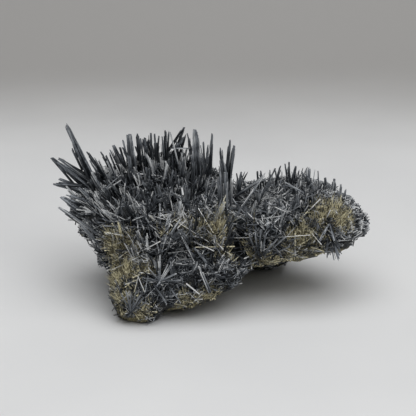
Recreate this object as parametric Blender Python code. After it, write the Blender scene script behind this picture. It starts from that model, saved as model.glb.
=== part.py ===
"""Stibnite spray: bladed crystals radiating from a crusted, two-lobed lump of matrix.

Everything grew together, so the piece is one closed solid. Metres, +Z up, +X to the right,
-Y to the front; lengths below are in millimetres and turned to metres when a mesh is made.
The left lobe stands on the floor and carries the tall crown; the right lobe is a ledge that
hangs clear of the floor in front and rests on a low foot behind.
"""
import math
from dataclasses import dataclass
from random import Random

import bmesh
import bpy
from mathutils import Matrix, Vector
from mathutils.bvhtree import BVHTree

MM = 0.001
NODE = "stibnite_spray"
BODY_SEED = 11
GROWTH_SEED = 29
GOLDEN_ANGLE = math.pi * (3.0 - math.sqrt(5.0))

ROOT_DEPTH = 6.0
LONG_ROOT_DEPTH = 8.0
SINK = 0.8
POINTED_SHARE = 0.15
CAST_DISTANCE = 200.0
LOWEST_ROOT = 8.0
LOWEST_SLOPE = 0.12
CENTRE_SHIFT = Vector((-0.9, 1.2, 0.0))


@dataclass(frozen=True)
class Lump:
    """A lump of crusted matrix: centre and radii in mm, boxiness, roughness and facet level."""

    name: str
    centre: Vector
    radii: Vector
    square: float = 1.0
    rough: float = 0.08
    detail: int = 2
    lean: float = 0.0

    def skin(self, normal: Vector) -> Vector:
        """Give the point of the skin that lies in a direction from the centre."""
        boxed = Vector(math.copysign(abs(part) ** self.square, part) for part in normal)
        offset = self.radii * boxed
        offset.rotate(Matrix.Rotation(math.radians(self.lean), 3, "Y"))
        return self.centre + offset


@dataclass(frozen=True)
class Lobe:
    """A half of the piece to be covered evenly: centre, span in x, and number of roots tried."""

    centre: Vector
    left: float
    right: float
    count: int


@dataclass(frozen=True)
class Zone:
    """How crystals grow near a place: where they radiate from, sizes in mm, lean in degrees."""

    name: str
    place: Vector
    focus: Vector
    length: tuple
    width: tuple
    spread: float


@dataclass(frozen=True)
class Fan:
    """Crystals radiating from one root, sizes in mm, spread in degrees about one direction."""

    root: Vector
    heading: Vector
    count: int
    length: tuple
    width: tuple
    spread: float


@dataclass(frozen=True)
class Crystal:
    """One prism from foot to tip, in mm, with its half width, flatness and roll."""

    foot: Vector
    tip: Vector
    half_width: float
    flatness: float
    roll: float
    pointed: bool


LUMPS = (
    Lump("front_foot", Vector((-33.5, -32, 13)), Vector((13.5, 13, 16)), 0.8, 0.08, 2, 4.0),
    Lump("front_rim", Vector((-8, -27, 17.8)), Vector((28, 14, 12)), 0.85, 0.09, 2, -20.0),
    Lump("left_body", Vector((-31, -8, 30)), Vector((25, 31, 24)), 0.9, 0.08, 1),
    Lump("left_shoulder", Vector((-45.5, 2, 40)), Vector((21, 28, 21.5)), 1.0, 0.07, 1),
    Lump("centre_body", Vector((-3, -3, 34)), Vector((27, 30, 23)), 0.9, 0.08, 1),
    Lump("crown", Vector((-20, 6, 50)), Vector((34, 24, 16)), 1.0, 0.06, 1),
    Lump("rear_left_foot", Vector((-30, 20, 18)), Vector((25, 21, 24)), 0.85, 0.09, 1),
    Lump("rear_ridge", Vector((12, 19, 33)), Vector((34, 20, 16)), 0.9, 0.09, 1),
    Lump("rear_right_foot", Vector((24, 33, 16)), Vector((20, 13, 21)), 0.85, 0.12, 1),
    Lump("right_body", Vector((36, 1, 34)), Vector((26, 27, 15)), 0.85, 0.09),
    Lump("right_end", Vector((58, -4, 38.5)), Vector((17, 20, 15)), 0.88, 0.10, 2, 4.0),
    Lump("saddle_root", Vector((19, -11, 26)), Vector((13, 15, 9.5)), 0.9, 0.08, 1),
    Lump("right_crest", Vector((42, 8, 44)), Vector((25, 18, 11)), 1.0, 0.06, 1),
    Lump("belly_foot", Vector((-17, -12, 15)), Vector((15, 13, 18)), 0.85, 0.09, 1),
    Lump("foot_bridge", Vector((-22, -31, 13)), Vector((15, 12, 10.5)), 0.9, 0.08, 1, -12.0),
    Lump("right_nose", Vector((71, -3, 38)), Vector((9, 12, 8)), 0.9, 0.10, 1),
)

HOLLOWS = (
    Lump("branch_hollow", Vector((-27, -30, 40)), Vector((7, 10, 5)), 1.0, 0.12, 1),
    Lump("saddle_cavity", Vector((15, -25, 30)), Vector((7, 12, 8)), 1.0, 0.12, 1),
    Lump("ledge_cleft", Vector((42, -25, 42)), Vector((6, 9, 6)), 1.0, 0.12, 1),
)

LOBES = (
    Lobe(Vector((-18, 0, 26)), -90.0, 17.0, 330),
    Lobe(Vector((44, 0, 34)), 17.0, 90.0, 205),
)

ZONES = (
    Zone("crown", Vector((-18, 4, 62)), Vector((-18, 4, -40)), (11, 20), (1.8, 3.2), 16.0),
    Zone("flare", Vector((-62, 2, 52)), Vector((-28, 0, 16)), (10, 17), (2.0, 3.4), 12.0),
    Zone("left_front", Vector((-36, -34, 36)), Vector((-30, -8, 4)), (10, 18), (1.9, 3.4), 32.0),
    Zone("centre_front", Vector((-6, -28, 40)), Vector((-8, -6, 2)), (12, 20), (1.9, 3.4), 32.0),
    Zone("rim", Vector((-4, -38, 20)), Vector((-12, -20, -4)), (7, 12), (1.8, 3.0), 30.0),
    Zone("foot", Vector((-38, -46, 12)), Vector((-34, -26, -4)), (5, 9), (1.8, 3.0), 26.0),
    Zone("left_flank", Vector((-60, -8, 28)), Vector((-30, 0, 6)), (4, 8), (1.8, 3.0), 16.0),
    Zone("left_back", Vector((-28, 34, 30)), Vector((-22, 14, 0)), (8, 14), (1.8, 3.0), 30.0),
    Zone("saddle", Vector((15, 0, 52)), Vector((10, 0, 10)), (8, 14), (1.6, 2.8), 28.0),
    Zone("right_front", Vector((38, -24, 36)), Vector((38, -6, 10)), (9, 15), (1.7, 3.0), 34.0),
    Zone("right_crest", Vector((42, 6, 54)), Vector((42, 4, 8)), (7, 12), (1.5, 2.6), 24.0),
    Zone("right_end", Vector((72, -6, 42)), Vector((46, 0, 24)), (2, 4.5), (2.0, 3.4), 28.0),
    Zone("right_back", Vector((42, 28, 34)), Vector((42, 12, 10)), (7, 12), (1.6, 2.8), 30.0),
)

FANS = (
    Fan(Vector((-24, -40, 20)), Vector((0.1, -0.4, 1.0)), 9, (14, 19), (1.2, 2.2), 45.0),
    Fan(Vector((-38, -42, 7)), Vector((0.1, -0.3, 1.0)), 7, (10, 14), (1.0, 2.0), 45.0),
    Fan(Vector((27, -25, 24)), Vector((0.2, -0.4, 1.0)), 9, (12, 18), (1.0, 2.0), 45.0),
    Fan(Vector((60, -23, 38)), Vector((0.0, -0.4, -1.0)), 7, (9, 13), (1.0, 2.0), 40.0),
)

# Foot, tip and width of the crystals that stand out by themselves.
LONG_CRYSTALS = (
    ((-54, 0, 54), (-70.5, 4, 88.5), 2.8),
    ((-58, -2, 55), (-78, -2, 72.5), 3.2),
    ((-57, 2, 57), (-74.5, 2, 71), 3.0),
    ((-56, -2, 54), (-74.5, -4, 62), 2.8),
    ((-58, -4, 54), (-77, -6, 60), 3.2),
    ((-55, -6, 43), (-73, -8, 53.5), 2.6),
    ((-58, -8, 35), (-74.5, -10, 49), 1.8),
    ((-42, 6, 60), (-47.5, 6, 76.5), 3.4),
    ((-37, 4, 62), (-39, 4, 83), 4.0),
    ((-34, 8, 62), (-35.5, 8, 82), 3.6),
    ((-28, 4, 63), (-28.5, 4, 83.5), 2.2),
    ((-21, 4, 63), (-19.5, 4, 84.5), 2.0),
    ((-19, 8, 66), (-12, 8, 85), 2.4),
    ((-16, 0, 66), (-11, 0, 84), 2.2),
    ((-7, -4, 60), (-6.5, -4, 88), 4.2),
    ((0.5, 0, 60), (2, 0, 84.5), 1.6),
    ((-2, -6, 60), (0, -6, 80.5), 1.8),
    ((9, -6, 50), (13, -4, 79.5), 2.8),
    ((9, -6, 50), (11, -4, 82.5), 2.2),
    ((8, -6, 52), (6, -4, 78.5), 2.4),
    ((14, -2, 50), (16.5, -2, 65), 2.0),
    ((-50, 6, 57), (-60.5, 8, 72), 2.0),
    ((-46, 4, 57), (-53.5, 4, 73.5), 1.8),
    ((-38, 2, 61), (-42.5, 2, 80.5), 1.8),
    ((19.5, -22, 37), (18.5, -25, 55), 2.0),
    ((22.5, -22, 37), (23, -25, 55), 2.0),
    ((20, -10, 54), (28.5, -6, 66), 1.8),
    ((45.5, 6, 48), (50.5, 6, 60), 1.4),
    ((42.5, 6, 50), (44.5, 6, 65.5), 1.6),
    ((40.5, 8, 50), (41, 8, 67), 1.6),
    ((36.5, 4, 50), (33.5, 4, 65), 1.6),
    ((29.5, 6, 48), (26.5, 6, 63), 1.6),
    ((56, 0, 52), (55, 0, 65), 1.2),
    ((-1, -32, 24), (-8.5, -37, 36), 1.8),
    ((2, -32, 16), (-4, -38, 30), 1.8),
)


def tilt(heading: Vector, degrees: float, rng: Random) -> Vector:
    """Lean a direction by up to the given angle, in a random sense."""
    side = heading.orthogonal().normalized()
    side.rotate(Matrix.Rotation(rng.uniform(0.0, math.tau), 3, heading))
    lean = math.radians(degrees) * math.sqrt(rng.random())
    return (heading * math.cos(lean) + side * math.sin(lean)).normalized()


def grow_lobe(lobe: Lobe, skin: BVHTree, rng: Random) -> list[Crystal]:
    """Root crystals evenly over a lobe, each one grown in the manner of the zone nearest to it."""
    crystals = []
    for index in range(lobe.count):
        up = 1.0 - 2.0 * (index + 0.5) / lobe.count
        ring = math.sqrt(1.0 - up * up)
        turn = index * GOLDEN_ANGLE
        outward = Vector((ring * math.cos(turn), ring * math.sin(turn), up))
        start = lobe.centre + outward * CAST_DISTANCE
        root, normal, _, _ = skin.ray_cast(start, -outward)
        if root is None or root.z < LOWEST_ROOT or normal.z < -0.35:
            continue
        if not lobe.left <= root.x < lobe.right:
            continue
        zone = min(ZONES, key=lambda item: (item.place - root).length)
        heading = tilt((root - zone.focus).normalized(), zone.spread, rng)
        heading.z = max(heading.z, LOWEST_SLOPE)
        heading.normalize()
        root -= normal * SINK
        tip = root + heading * rng.uniform(*zone.length)
        half_width = rng.uniform(*zone.width) / 2.0
        flatness = rng.uniform(0.55, 0.85)
        roll = rng.uniform(0.0, math.pi)
        pointed = rng.random() < POINTED_SHARE
        foot = root - heading * ROOT_DEPTH
        crystals.append(Crystal(foot, tip, half_width, flatness, roll, pointed))
    return crystals


def grow_fan(fan: Fan, rng: Random) -> list[Crystal]:
    """Place a fan's crystals about its heading, all from one root."""
    crystals = []
    for _ in range(fan.count):
        heading = tilt(fan.heading.normalized(), fan.spread, rng)
        foot = fan.root - heading * 2.0 + Vector((0.0, 3.0, 0.0))
        tip = fan.root + heading * rng.uniform(*fan.length)
        half_width = rng.uniform(*fan.width) / 2.0
        crystals.append(Crystal(foot, tip, half_width, rng.uniform(0.55, 0.85), 0.4, True))
    return crystals


def long_crystal(foot: Vector, tip: Vector, width: float) -> Crystal:
    """Root a crystal that stands out well inside the body, below the foot that shows."""
    heading = (tip - foot).normalized()
    return Crystal(foot - heading * LONG_ROOT_DEPTH, tip, width / 2.0, 0.7, 0.3, True)


def add_lump(bm: bmesh.types.BMesh, lump: Lump, rng: Random) -> None:
    """Add one rough ellipsoid to the mesh."""
    made = bmesh.ops.create_icosphere(bm, subdivisions=lump.detail, radius=1.0)
    for vert in made["verts"]:
        swell = 1.0 + rng.uniform(-lump.rough, lump.rough)
        vert.co = lump.skin(vert.co * swell) * MM


def add_crystal(bm: bmesh.types.BMesh, crystal: Crystal) -> None:
    """Add one rhombic prism with a low pyramid or a slanting break at its tip."""
    axis = crystal.tip - crystal.foot
    length = axis.length
    place = Matrix.Translation(crystal.foot) @ axis.to_track_quat("Z", "Y").to_matrix().to_4x4()
    place = place @ Matrix.Rotation(crystal.roll, 4, "Z")
    wide = crystal.half_width
    thin = wide * crystal.flatness
    corners = ((wide, 0.0), (0.0, thin), (-wide, 0.0), (0.0, -thin))
    shoulder = length - (2.2 * wide if crystal.pointed else 0.0)
    lower = [bm.verts.new(place @ Vector((x, y, 0.0)) * MM) for x, y in corners]
    upper = []
    for x, y in corners:
        slant = 0.0 if crystal.pointed else x * 0.9
        upper.append(bm.verts.new(place @ Vector((x * 0.9, y * 0.9, shoulder + slant)) * MM))
    bm.faces.new(lower[::-1])
    for step in range(4):
        after = (step + 1) % 4
        bm.faces.new((lower[step], lower[after], upper[after], upper[step]))
    if not crystal.pointed:
        bm.faces.new(upper)
        return
    apex = bm.verts.new(place @ Vector((wide * 0.25, 0.0, length)) * MM)
    for step in range(4):
        bm.faces.new((upper[step], upper[(step + 1) % 4], apex))


def mesh_object(name: str, bm: bmesh.types.BMesh) -> bpy.types.Object:
    """Turn a bmesh into an object linked to the scene."""
    bmesh.ops.recalc_face_normals(bm, faces=bm.faces)
    mesh = bpy.data.meshes.new(name)
    bm.to_mesh(mesh)
    bm.free()
    made = bpy.data.objects.new(name, mesh)
    bpy.context.scene.collection.objects.link(made)
    return made


def combine(target: bpy.types.Object, other: bpy.types.Object, operation: str) -> None:
    """Apply a Boolean to the target and remove the other object."""
    modifier = target.modifiers.new("join", "BOOLEAN")
    modifier.operation = operation
    modifier.solver = "EXACT"
    modifier.use_self = True
    modifier.object = other
    graph = bpy.context.evaluated_depsgraph_get()
    result = bpy.data.meshes.new_from_object(target.evaluated_get(graph), depsgraph=graph)
    target.modifiers.remove(modifier)
    target.data = result
    bpy.data.objects.remove(other)


def keep_largest_shell(target: bpy.types.Object) -> None:
    """Drop every shell but the largest, so no pocket or crumb is left apart from the piece."""
    bm = bmesh.new()
    bm.from_mesh(target.data)
    bm.verts.ensure_lookup_table()
    waiting = set(bm.verts)
    shells = []
    while waiting:
        edge_of_search = [waiting.pop()]
        shell = list(edge_of_search)
        while edge_of_search:
            vert = edge_of_search.pop()
            for edge in vert.link_edges:
                near = edge.other_vert(vert)
                if near in waiting:
                    waiting.remove(near)
                    edge_of_search.append(near)
                    shell.append(near)
        shells.append(shell)
    shells.sort(key=len, reverse=True)
    for shell in shells[1:]:
        bmesh.ops.delete(bm, geom=shell, context="VERTS")
    bmesh.ops.triangulate(bm, faces=bm.faces)
    bm.to_mesh(target.data)
    bm.free()


def make_stone() -> bpy.types.Material:
    """Make the lead-grey of stibnite, dulled a little by its crust."""
    material = bpy.data.materials.new("stibnite")
    material.use_nodes = True
    shader = material.node_tree.nodes["Principled BSDF"]
    shader.inputs["Base Color"].default_value = (0.085, 0.092, 0.100, 1.0)
    shader.inputs["Metallic"].default_value = 0.35
    shader.inputs["Roughness"].default_value = 0.45
    return material


def build_body() -> bpy.types.Object:
    """Join the lumps and cut the hollows out of them."""
    rng = Random(BODY_SEED)
    solid = bmesh.new()
    for lump in LUMPS:
        add_lump(solid, lump, rng)
    body = mesh_object(NODE, solid)
    pits = bmesh.new()
    for lump in HOLLOWS:
        add_lump(pits, lump, rng)
    combine(body, mesh_object("hollows", pits), "DIFFERENCE")
    return body


def build_growth(body: bpy.types.Object) -> bpy.types.Object:
    """Make every crystal as one mesh of overlapping prisms."""
    rng = Random(GROWTH_SEED)
    corners = [vert.co / MM for vert in body.data.vertices]
    facets = [tuple(face.vertices) for face in body.data.polygons]
    skin = BVHTree.FromPolygons(corners, facets)
    crystals = []
    for lobe in LOBES:
        crystals += grow_lobe(lobe, skin, rng)
    for fan in FANS:
        crystals += grow_fan(fan, rng)
    for foot, tip, width in LONG_CRYSTALS:
        crystals.append(long_crystal(Vector(foot), Vector(tip), width))
    growth = bmesh.new()
    for crystal in crystals:
        add_crystal(growth, crystal)
    return mesh_object("growth", growth)


def cut_flat(body: bpy.types.Object) -> None:
    """Cut the feet level with the floor."""
    block = bmesh.new()
    size = Matrix.Diagonal((0.4, 0.4, 0.1, 1.0))
    bmesh.ops.create_cube(block, size=1.0, matrix=Matrix.Translation((0.0, 0.0, -0.05)) @ size)
    combine(body, mesh_object("floor_block", block), "DIFFERENCE")


def main() -> None:
    """Build the piece, centred over the origin with its feet at z = 0."""
    for old in list(bpy.data.objects):
        bpy.data.objects.remove(old)
    body = build_body()
    combine(body, build_growth(body), "UNION")
    cut_flat(body)
    keep_largest_shell(body)
    body.data.transform(Matrix.Translation(CENTRE_SHIFT * MM))
    body.data.materials.clear()
    body.data.materials.append(make_stone())


main()
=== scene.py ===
"""Dresses the stibnite spray with its real surface.

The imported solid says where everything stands. Over its lumps this script lays a rough crust,
composite blades, thousands of fine needles in fans, and an ochre coat in the hollows where it
gathers. The piece stands on a pale floor under soft overhead light.
"""
import logging
import math
from dataclasses import dataclass, field
from enum import Enum
from random import Random
from typing import Iterable, NamedTuple, Optional, Sequence, Union

import bmesh
import bpy
import numpy as np
from mathutils import Matrix, Vector, noise
from mathutils.bvhtree import BVHTree


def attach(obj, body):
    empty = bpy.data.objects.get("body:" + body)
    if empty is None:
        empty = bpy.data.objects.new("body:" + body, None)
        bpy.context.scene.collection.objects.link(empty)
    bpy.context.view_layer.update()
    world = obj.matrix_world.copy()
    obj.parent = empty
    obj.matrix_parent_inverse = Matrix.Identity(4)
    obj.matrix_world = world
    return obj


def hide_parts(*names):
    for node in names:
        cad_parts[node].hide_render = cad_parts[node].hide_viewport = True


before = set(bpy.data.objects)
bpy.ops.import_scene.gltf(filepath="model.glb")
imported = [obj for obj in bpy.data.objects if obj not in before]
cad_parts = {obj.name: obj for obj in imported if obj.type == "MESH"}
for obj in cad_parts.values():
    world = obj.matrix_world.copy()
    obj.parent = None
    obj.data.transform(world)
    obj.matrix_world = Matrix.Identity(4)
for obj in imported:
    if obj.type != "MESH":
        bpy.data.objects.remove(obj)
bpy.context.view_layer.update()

LOG = logging.getLogger("stibnite_spray")
MM = 0.001
MM_PER_METRE = 1000.0
NODE = "stibnite_spray"
BODY = "root"
GOLDEN_ANGLE = math.pi * (3.0 - math.sqrt(5.0))
CENTRE_SHIFT = Vector((-0.9, 1.2, 0.0))
UP = Vector((0.0, 0.0, 1.0))
# Where a ray starts that meets the piece from outside, in millimetres.
FAR_OUT = 200.0
# The most that a small needle is rolled, nearly half a turn.
ROLL_LIMIT = 3.1
# How an ochre patch spreads past its reach, how thick it gets, and how ragged it is.
COAT_REACH = 1.35
COAT_STRENGTH = 1.6
COAT_EVEN = 0.75
COAT_GRAIN = 0.30
Feed = Union["Signal", float, int, bool, str, tuple, bpy.types.Material]


# --- Writing node trees ---


class Signal:
    """A value or colour on its way through a node tree, with arithmetic that adds the nodes."""

    def __init__(self, graph: "Graph", socket: bpy.types.NodeSocket) -> None:
        """Wrap an output socket.

        Args:
            graph: The graph that holds the socket's node.
            socket: The output to carry on from.
        """
        self.graph = graph
        self.socket = socket

    def math(self, operation: str, first: Feed, second: Feed = 0.0) -> "Signal":
        """Add one Math node.

        Args:
            operation: The Math node's operation.
            first: The first operand.
            second: The second operand, where the operation has one.

        Returns:
            The result.
        """
        return self.graph.add("ShaderNodeMath", {"operation": operation}, {0: first, 1: second})

    def __add__(self, other: Feed) -> "Signal":
        """Add."""
        return self.math("ADD", self, other)

    def __radd__(self, other: Feed) -> "Signal":
        """Add, from the left."""
        return self.math("ADD", other, self)

    def __sub__(self, other: Feed) -> "Signal":
        """Subtract."""
        return self.math("SUBTRACT", self, other)

    def __rsub__(self, other: Feed) -> "Signal":
        """Subtract from the other."""
        return self.math("SUBTRACT", other, self)

    def __mul__(self, other: Feed) -> "Signal":
        """Multiply."""
        return self.math("MULTIPLY", self, other)

    def __rmul__(self, other: Feed) -> "Signal":
        """Multiply, from the left."""
        return self.math("MULTIPLY", other, self)

    def __truediv__(self, other: Feed) -> "Signal":
        """Divide."""
        return self.math("DIVIDE", self, other)

    def __gt__(self, other: Feed) -> "Signal":
        """Give 1 where this is the greater."""
        return self.math("GREATER_THAN", self, other)

    def modulo(self, other: Feed) -> "Signal":
        """Give the remainder of a division."""
        return self.math("MODULO", self, other)

    def floor(self) -> "Signal":
        """Round down."""
        return self.math("FLOOR", self)

    def size(self) -> "Signal":
        """Drop the sign."""
        return self.math("ABSOLUTE", self)

    def ramp(self, low: float, high: float) -> "Signal":
        """Rise smoothly from 0 to 1.

        Args:
            low: The value at which the rise starts.
            high: The value at which it ends.

        Returns:
            The eased value between 0 and 1.
        """
        settings = {"interpolation_type": "SMOOTHSTEP"}
        return self.graph.add("ShaderNodeMapRange", settings, {0: self, 1: low, 2: high})


class Graph:
    """A node tree being written: it adds nodes, sets them up and wires them."""

    def __init__(self, tree: bpy.types.NodeTree) -> None:
        """Start on an empty tree.

        Args:
            tree: The tree to write in.
        """
        self.tree = tree
        self.tree.nodes.clear()

    def add(
        self,
        kind: str,
        settings: Optional[dict] = None,
        inputs: Optional[dict] = None,
        output: Union[int, str] = 0,
    ) -> Signal:
        """Add a node.

        Args:
            kind: The node's type.
            settings: Properties of the node, set before its sockets.
            inputs: Values or signals by input index or name.
            output: The output to hand back.

        Returns:
            The chosen output.
        """
        node = self.tree.nodes.new(kind)
        for name, value in (settings or {}).items():
            setattr(node, name, value)
        for key, value in (inputs or {}).items():
            self.feed(node.inputs[key], value)
        return Signal(self, node.outputs[output]) if len(node.outputs) else Signal(self, None)

    def feed(self, socket: bpy.types.NodeSocket, value: Feed) -> None:
        """Link or set one input.

        Args:
            socket: The input.
            value: A signal to link, or a plain value.
        """
        if isinstance(value, Signal):
            self.tree.links.new(value.socket, socket)
        elif value is not None:
            socket.default_value = value

    def noise(self, place: Signal, scale: float, detail: float, rough: float) -> Signal:
        """Sample noise.

        Args:
            place: Where to sample.
            scale: Cells to a unit.
            detail: Octaves.
            rough: Strength of the finer octaves.

        Returns:
            The noise value, about 0.5 on average.
        """
        inputs = {"Vector": place, "Scale": scale, "Detail": detail, "Roughness": rough}
        return self.add("ShaderNodeTexNoise", {"noise_dimensions": "3D"}, inputs)

    def blend(self, factor: Feed, first: Feed, second: Feed) -> Signal:
        """Mix two colours.

        Args:
            factor: Share of the second colour.
            first: The first colour, RGBA.
            second: The second colour, RGBA.

        Returns:
            The mixed colour.
        """
        inputs = {0: factor, 6: first, 7: second}
        return self.add("ShaderNodeMix", {"data_type": "RGBA"}, inputs, 2)

    def attribute(self, name: str, output: str = "Fac") -> Signal:
        """Read one of the piece's own attributes in a material."""
        return self.add("ShaderNodeAttribute", {"attribute_name": name}, output=output)

    def field(self, name: str, kind: str = "FLOAT") -> Signal:
        """Read one of the points' attributes in a geometry tree."""
        settings = {"data_type": kind}
        return self.add("GeometryNodeInputNamedAttribute", settings, {"Name": name})

    def store(self, shape: Signal, name: str, value: Signal, kind: str, domain: str) -> Signal:
        """Store an attribute on a mesh in a geometry tree.

        Args:
            shape: The geometry.
            name: The attribute's name.
            value: Its value.
            kind: Its data type.
            domain: Where it lives.

        Returns:
            The geometry with the attribute.
        """
        settings = {"data_type": kind, "domain": domain}
        inputs = {"Geometry": shape, "Name": name, "Value": value}
        return self.add("GeometryNodeStoreNamedAttribute", settings, inputs)

    def combine(self, x: Feed, y: Feed, z: Feed) -> Signal:
        """Make a vector of three numbers."""
        return self.add("ShaderNodeCombineXYZ", None, {0: x, 1: y, 2: z})

    def parts(self, vector: Signal) -> tuple[Signal, Signal, Signal]:
        """Split a vector.

        Args:
            vector: The vector.

        Returns:
            Its x, y and z.
        """
        split = self.add("ShaderNodeSeparateXYZ", None, {0: vector})
        outs = split.socket.node.outputs
        return Signal(self, outs[0]), Signal(self, outs[1]), Signal(self, outs[2])


# --- Finishes ---


def rgba(red: float, green: float, blue: float) -> tuple[float, float, float, float]:
    """Make an opaque linear colour."""
    return (red, green, blue, 1.0)


@dataclass(frozen=True)
class Finish:
    """A material written as a node tree; each kind says what its surface is fed.

    A field ending in noise holds a scale, the octaves and the strength of the finer ones. One ending
    in limits holds the values at which a ramp starts and ends.
    """

    name: str = "finish"

    def surface(self, graph: Graph, place: Signal) -> dict:
        """Work out what the surface shader is fed.

        Args:
            graph: The tree being written.
            place: Places in the object's own space, in metres.

        Returns:
            Values and signals by the shader's input names.
        """
        raise NotImplementedError

    def material(self) -> bpy.types.Material:
        """Write the material.

        Returns:
            The material.
        """
        made = bpy.data.materials.new(self.name)
        made.use_nodes = True
        graph = Graph(made.node_tree)
        place = graph.add("ShaderNodeTexCoord", output="Object")
        shader = graph.add("ShaderNodeBsdfPrincipled", None, self.surface(graph, place))
        graph.add("ShaderNodeOutputMaterial", None, {"Surface": shader})
        return made


@dataclass(frozen=True)
class BladeFinish(Finish):
    """Lead-grey stibnite: grooves lengthwise, a dusty film on some blades, ochre at the roots, and
    painted shade darkening each prism towards its root.
    """

    name: str = "stibnite_blade"
    deep: tuple = rgba(0.012, 0.015, 0.019)
    steel: tuple = rgba(0.205, 0.222, 0.245)
    bright: tuple = rgba(0.720, 0.730, 0.730)
    earth: tuple = rgba(0.110, 0.095, 0.055)
    ochre: tuple = rgba(0.780, 0.725, 0.500)
    metal: float = 0.55
    metal_lost_where_dusty: float = 0.8
    roughness: float = 0.34
    groove_height: float = 0.00012
    bump_strength: float = 0.8
    groove_noise: tuple = (2.6, 2.0, 0.6)
    patch_noise: tuple = (260.0, 3.0, 0.6)
    crumb_noise: tuple = (900.0, 3.0, 0.7)
    streak_limits: tuple = (0.36, 0.66)
    steel_limits: tuple = (0.05, 0.95)
    bright_limits: tuple = (0.75, 1.75)
    ochre_limits: tuple = (0.10, 0.55)
    earth_limits: tuple = (0.68, 1.20)
    dusty_limits: tuple = (0.5, 1.6)
    dull_limits: tuple = (0.3, 1.5)
    tip_limits: tuple = (0.97, 0.99)
    streak_weight: float = 0.45
    patch_weight: float = 0.9
    # Painted shade: a prism's colour darkens towards its root, by this weight about this middle.
    root_shade_weight: float = 0.85
    root_shade_middle: float = 0.55
    ochre_by_coat: float = 1.5
    ochre_lost_along: float = 0.5
    ochre_by_crumbs: float = 1.3
    ochre_start: float = 0.80
    pale_by_crumbs: float = 1.4
    pale_by_tone: float = 0.35
    rough_by_ochre: float = 0.5
    rough_by_dust: float = 0.2
    rough_by_break: float = 0.3

    def surface(self, graph: Graph, place: Signal) -> dict:
        """Feed the shader from the attributes tone, coat, along and grain.

        Args:
            graph: The tree being written.
            place: Places in the object's own space, in metres.

        Returns:
            Values and signals by the shader's input names.
        """
        tone, coat, along = (graph.attribute(name) for name in ("tone", "coat", "along"))
        grooves = graph.noise(graph.attribute("grain", "Vector"), *self.groove_noise)
        patches = (graph.noise(place, *self.patch_noise) - 0.5) * self.patch_weight
        crumbs = graph.noise(place, *self.crumb_noise)
        streaks = (grooves.ramp(*self.streak_limits) - 0.5) * self.streak_weight
        # The along term is painted shade: each prism is darker at its root, where the needles crowd.
        light = tone + streaks + patches + (along - self.root_shade_middle) * self.root_shade_weight
        metal = graph.blend(light.ramp(*self.steel_limits), self.deep, self.steel)
        metal = graph.blend(light.ramp(*self.bright_limits), metal, self.bright)
        ochre = coat * self.ochre_by_coat - along * self.ochre_lost_along
        ochre = (ochre + crumbs * self.ochre_by_crumbs - self.ochre_start).ramp(*self.ochre_limits)
        pale = (crumbs * self.pale_by_crumbs + tone * self.pale_by_tone).ramp(*self.earth_limits)
        earth = graph.blend(pale, self.earth, self.ochre)
        relief = {"Strength": self.bump_strength, "Distance": self.groove_height}
        bump = graph.add("ShaderNodeBump", None, {**relief, "Height": grooves + crumbs * ochre})
        bare = 1.0 - light.ramp(*self.dusty_limits) * self.metal_lost_where_dusty
        dull = ochre * self.rough_by_ochre + light.ramp(*self.dull_limits) * self.rough_by_dust
        broken = along.ramp(*self.tip_limits) * self.rough_by_break
        return {
            "Base Color": graph.blend(ochre, metal, earth),
            "Metallic": (1.0 - ochre) * bare * self.metal,
            "Roughness": dull + broken + self.roughness,
            "Normal": bump,
        }


@dataclass(frozen=True)
class CrustFinish(Finish):
    """Dark matrix between the needles, its near-black rock partly its own colour and partly painted
    shade for the gaps, with crumbling ochre where the coat lies.
    """

    name: str = "ochre_crust"
    # Near black: partly the matrix's own colour, partly painted shade in the gaps between the needles.
    dark: tuple = rgba(0.016, 0.018, 0.020)
    grey: tuple = rgba(0.060, 0.062, 0.062)
    ochre: tuple = rgba(0.330, 0.285, 0.130)
    pale: tuple = rgba(0.440, 0.400, 0.235)
    crack: tuple = rgba(0.060, 0.055, 0.035)
    relief: float = 0.0009
    metal: float = 0.25
    roughness: float = 0.6
    crumb_noise: tuple = (700.0, 4.0, 0.7)
    lump_noise: tuple = (240.0, 3.0, 0.6)
    fibre_noise: tuple = (1500.0, 3.0, 0.7)
    ochre_by_coat: float = 1.6
    ochre_by_lumps: float = 0.9
    ochre_start: float = 0.75
    fibre_height: float = 0.6
    rough_by_ochre: float = 0.3
    ochre_limits: tuple = (0.05, 0.55)
    rock_limits: tuple = (0.35, 0.70)
    pale_limits: tuple = (0.35, 0.70)
    crack_limits: tuple = (0.62, 0.40)

    def surface(self, graph: Graph, place: Signal) -> dict:
        """Feed the shader from the attribute coat.

        Args:
            graph: The tree being written.
            place: Places in the object's own space, in metres.

        Returns:
            Values and signals by the shader's input names.
        """
        crumbs = graph.noise(place, *self.crumb_noise)
        lumps = graph.noise(place, *self.lump_noise)
        fibres = graph.noise(place, *self.fibre_noise)
        ochre = graph.attribute("coat") * self.ochre_by_coat + lumps * self.ochre_by_lumps
        ochre = (ochre - self.ochre_start).ramp(*self.ochre_limits)
        rock = graph.blend(fibres.ramp(*self.rock_limits), self.dark, self.grey)
        earth = graph.blend(crumbs.ramp(*self.pale_limits), self.ochre, self.pale)
        earth = graph.blend(fibres.ramp(*self.crack_limits), earth, self.crack)
        height = crumbs + fibres * self.fibre_height
        return {
            "Base Color": graph.blend(ochre, rock, earth),
            "Metallic": (1.0 - ochre) * self.metal,
            "Roughness": ochre * self.rough_by_ochre + self.roughness,
            "Normal": graph.add("ShaderNodeBump", None, {"Distance": self.relief, "Height": height}),
        }


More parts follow.
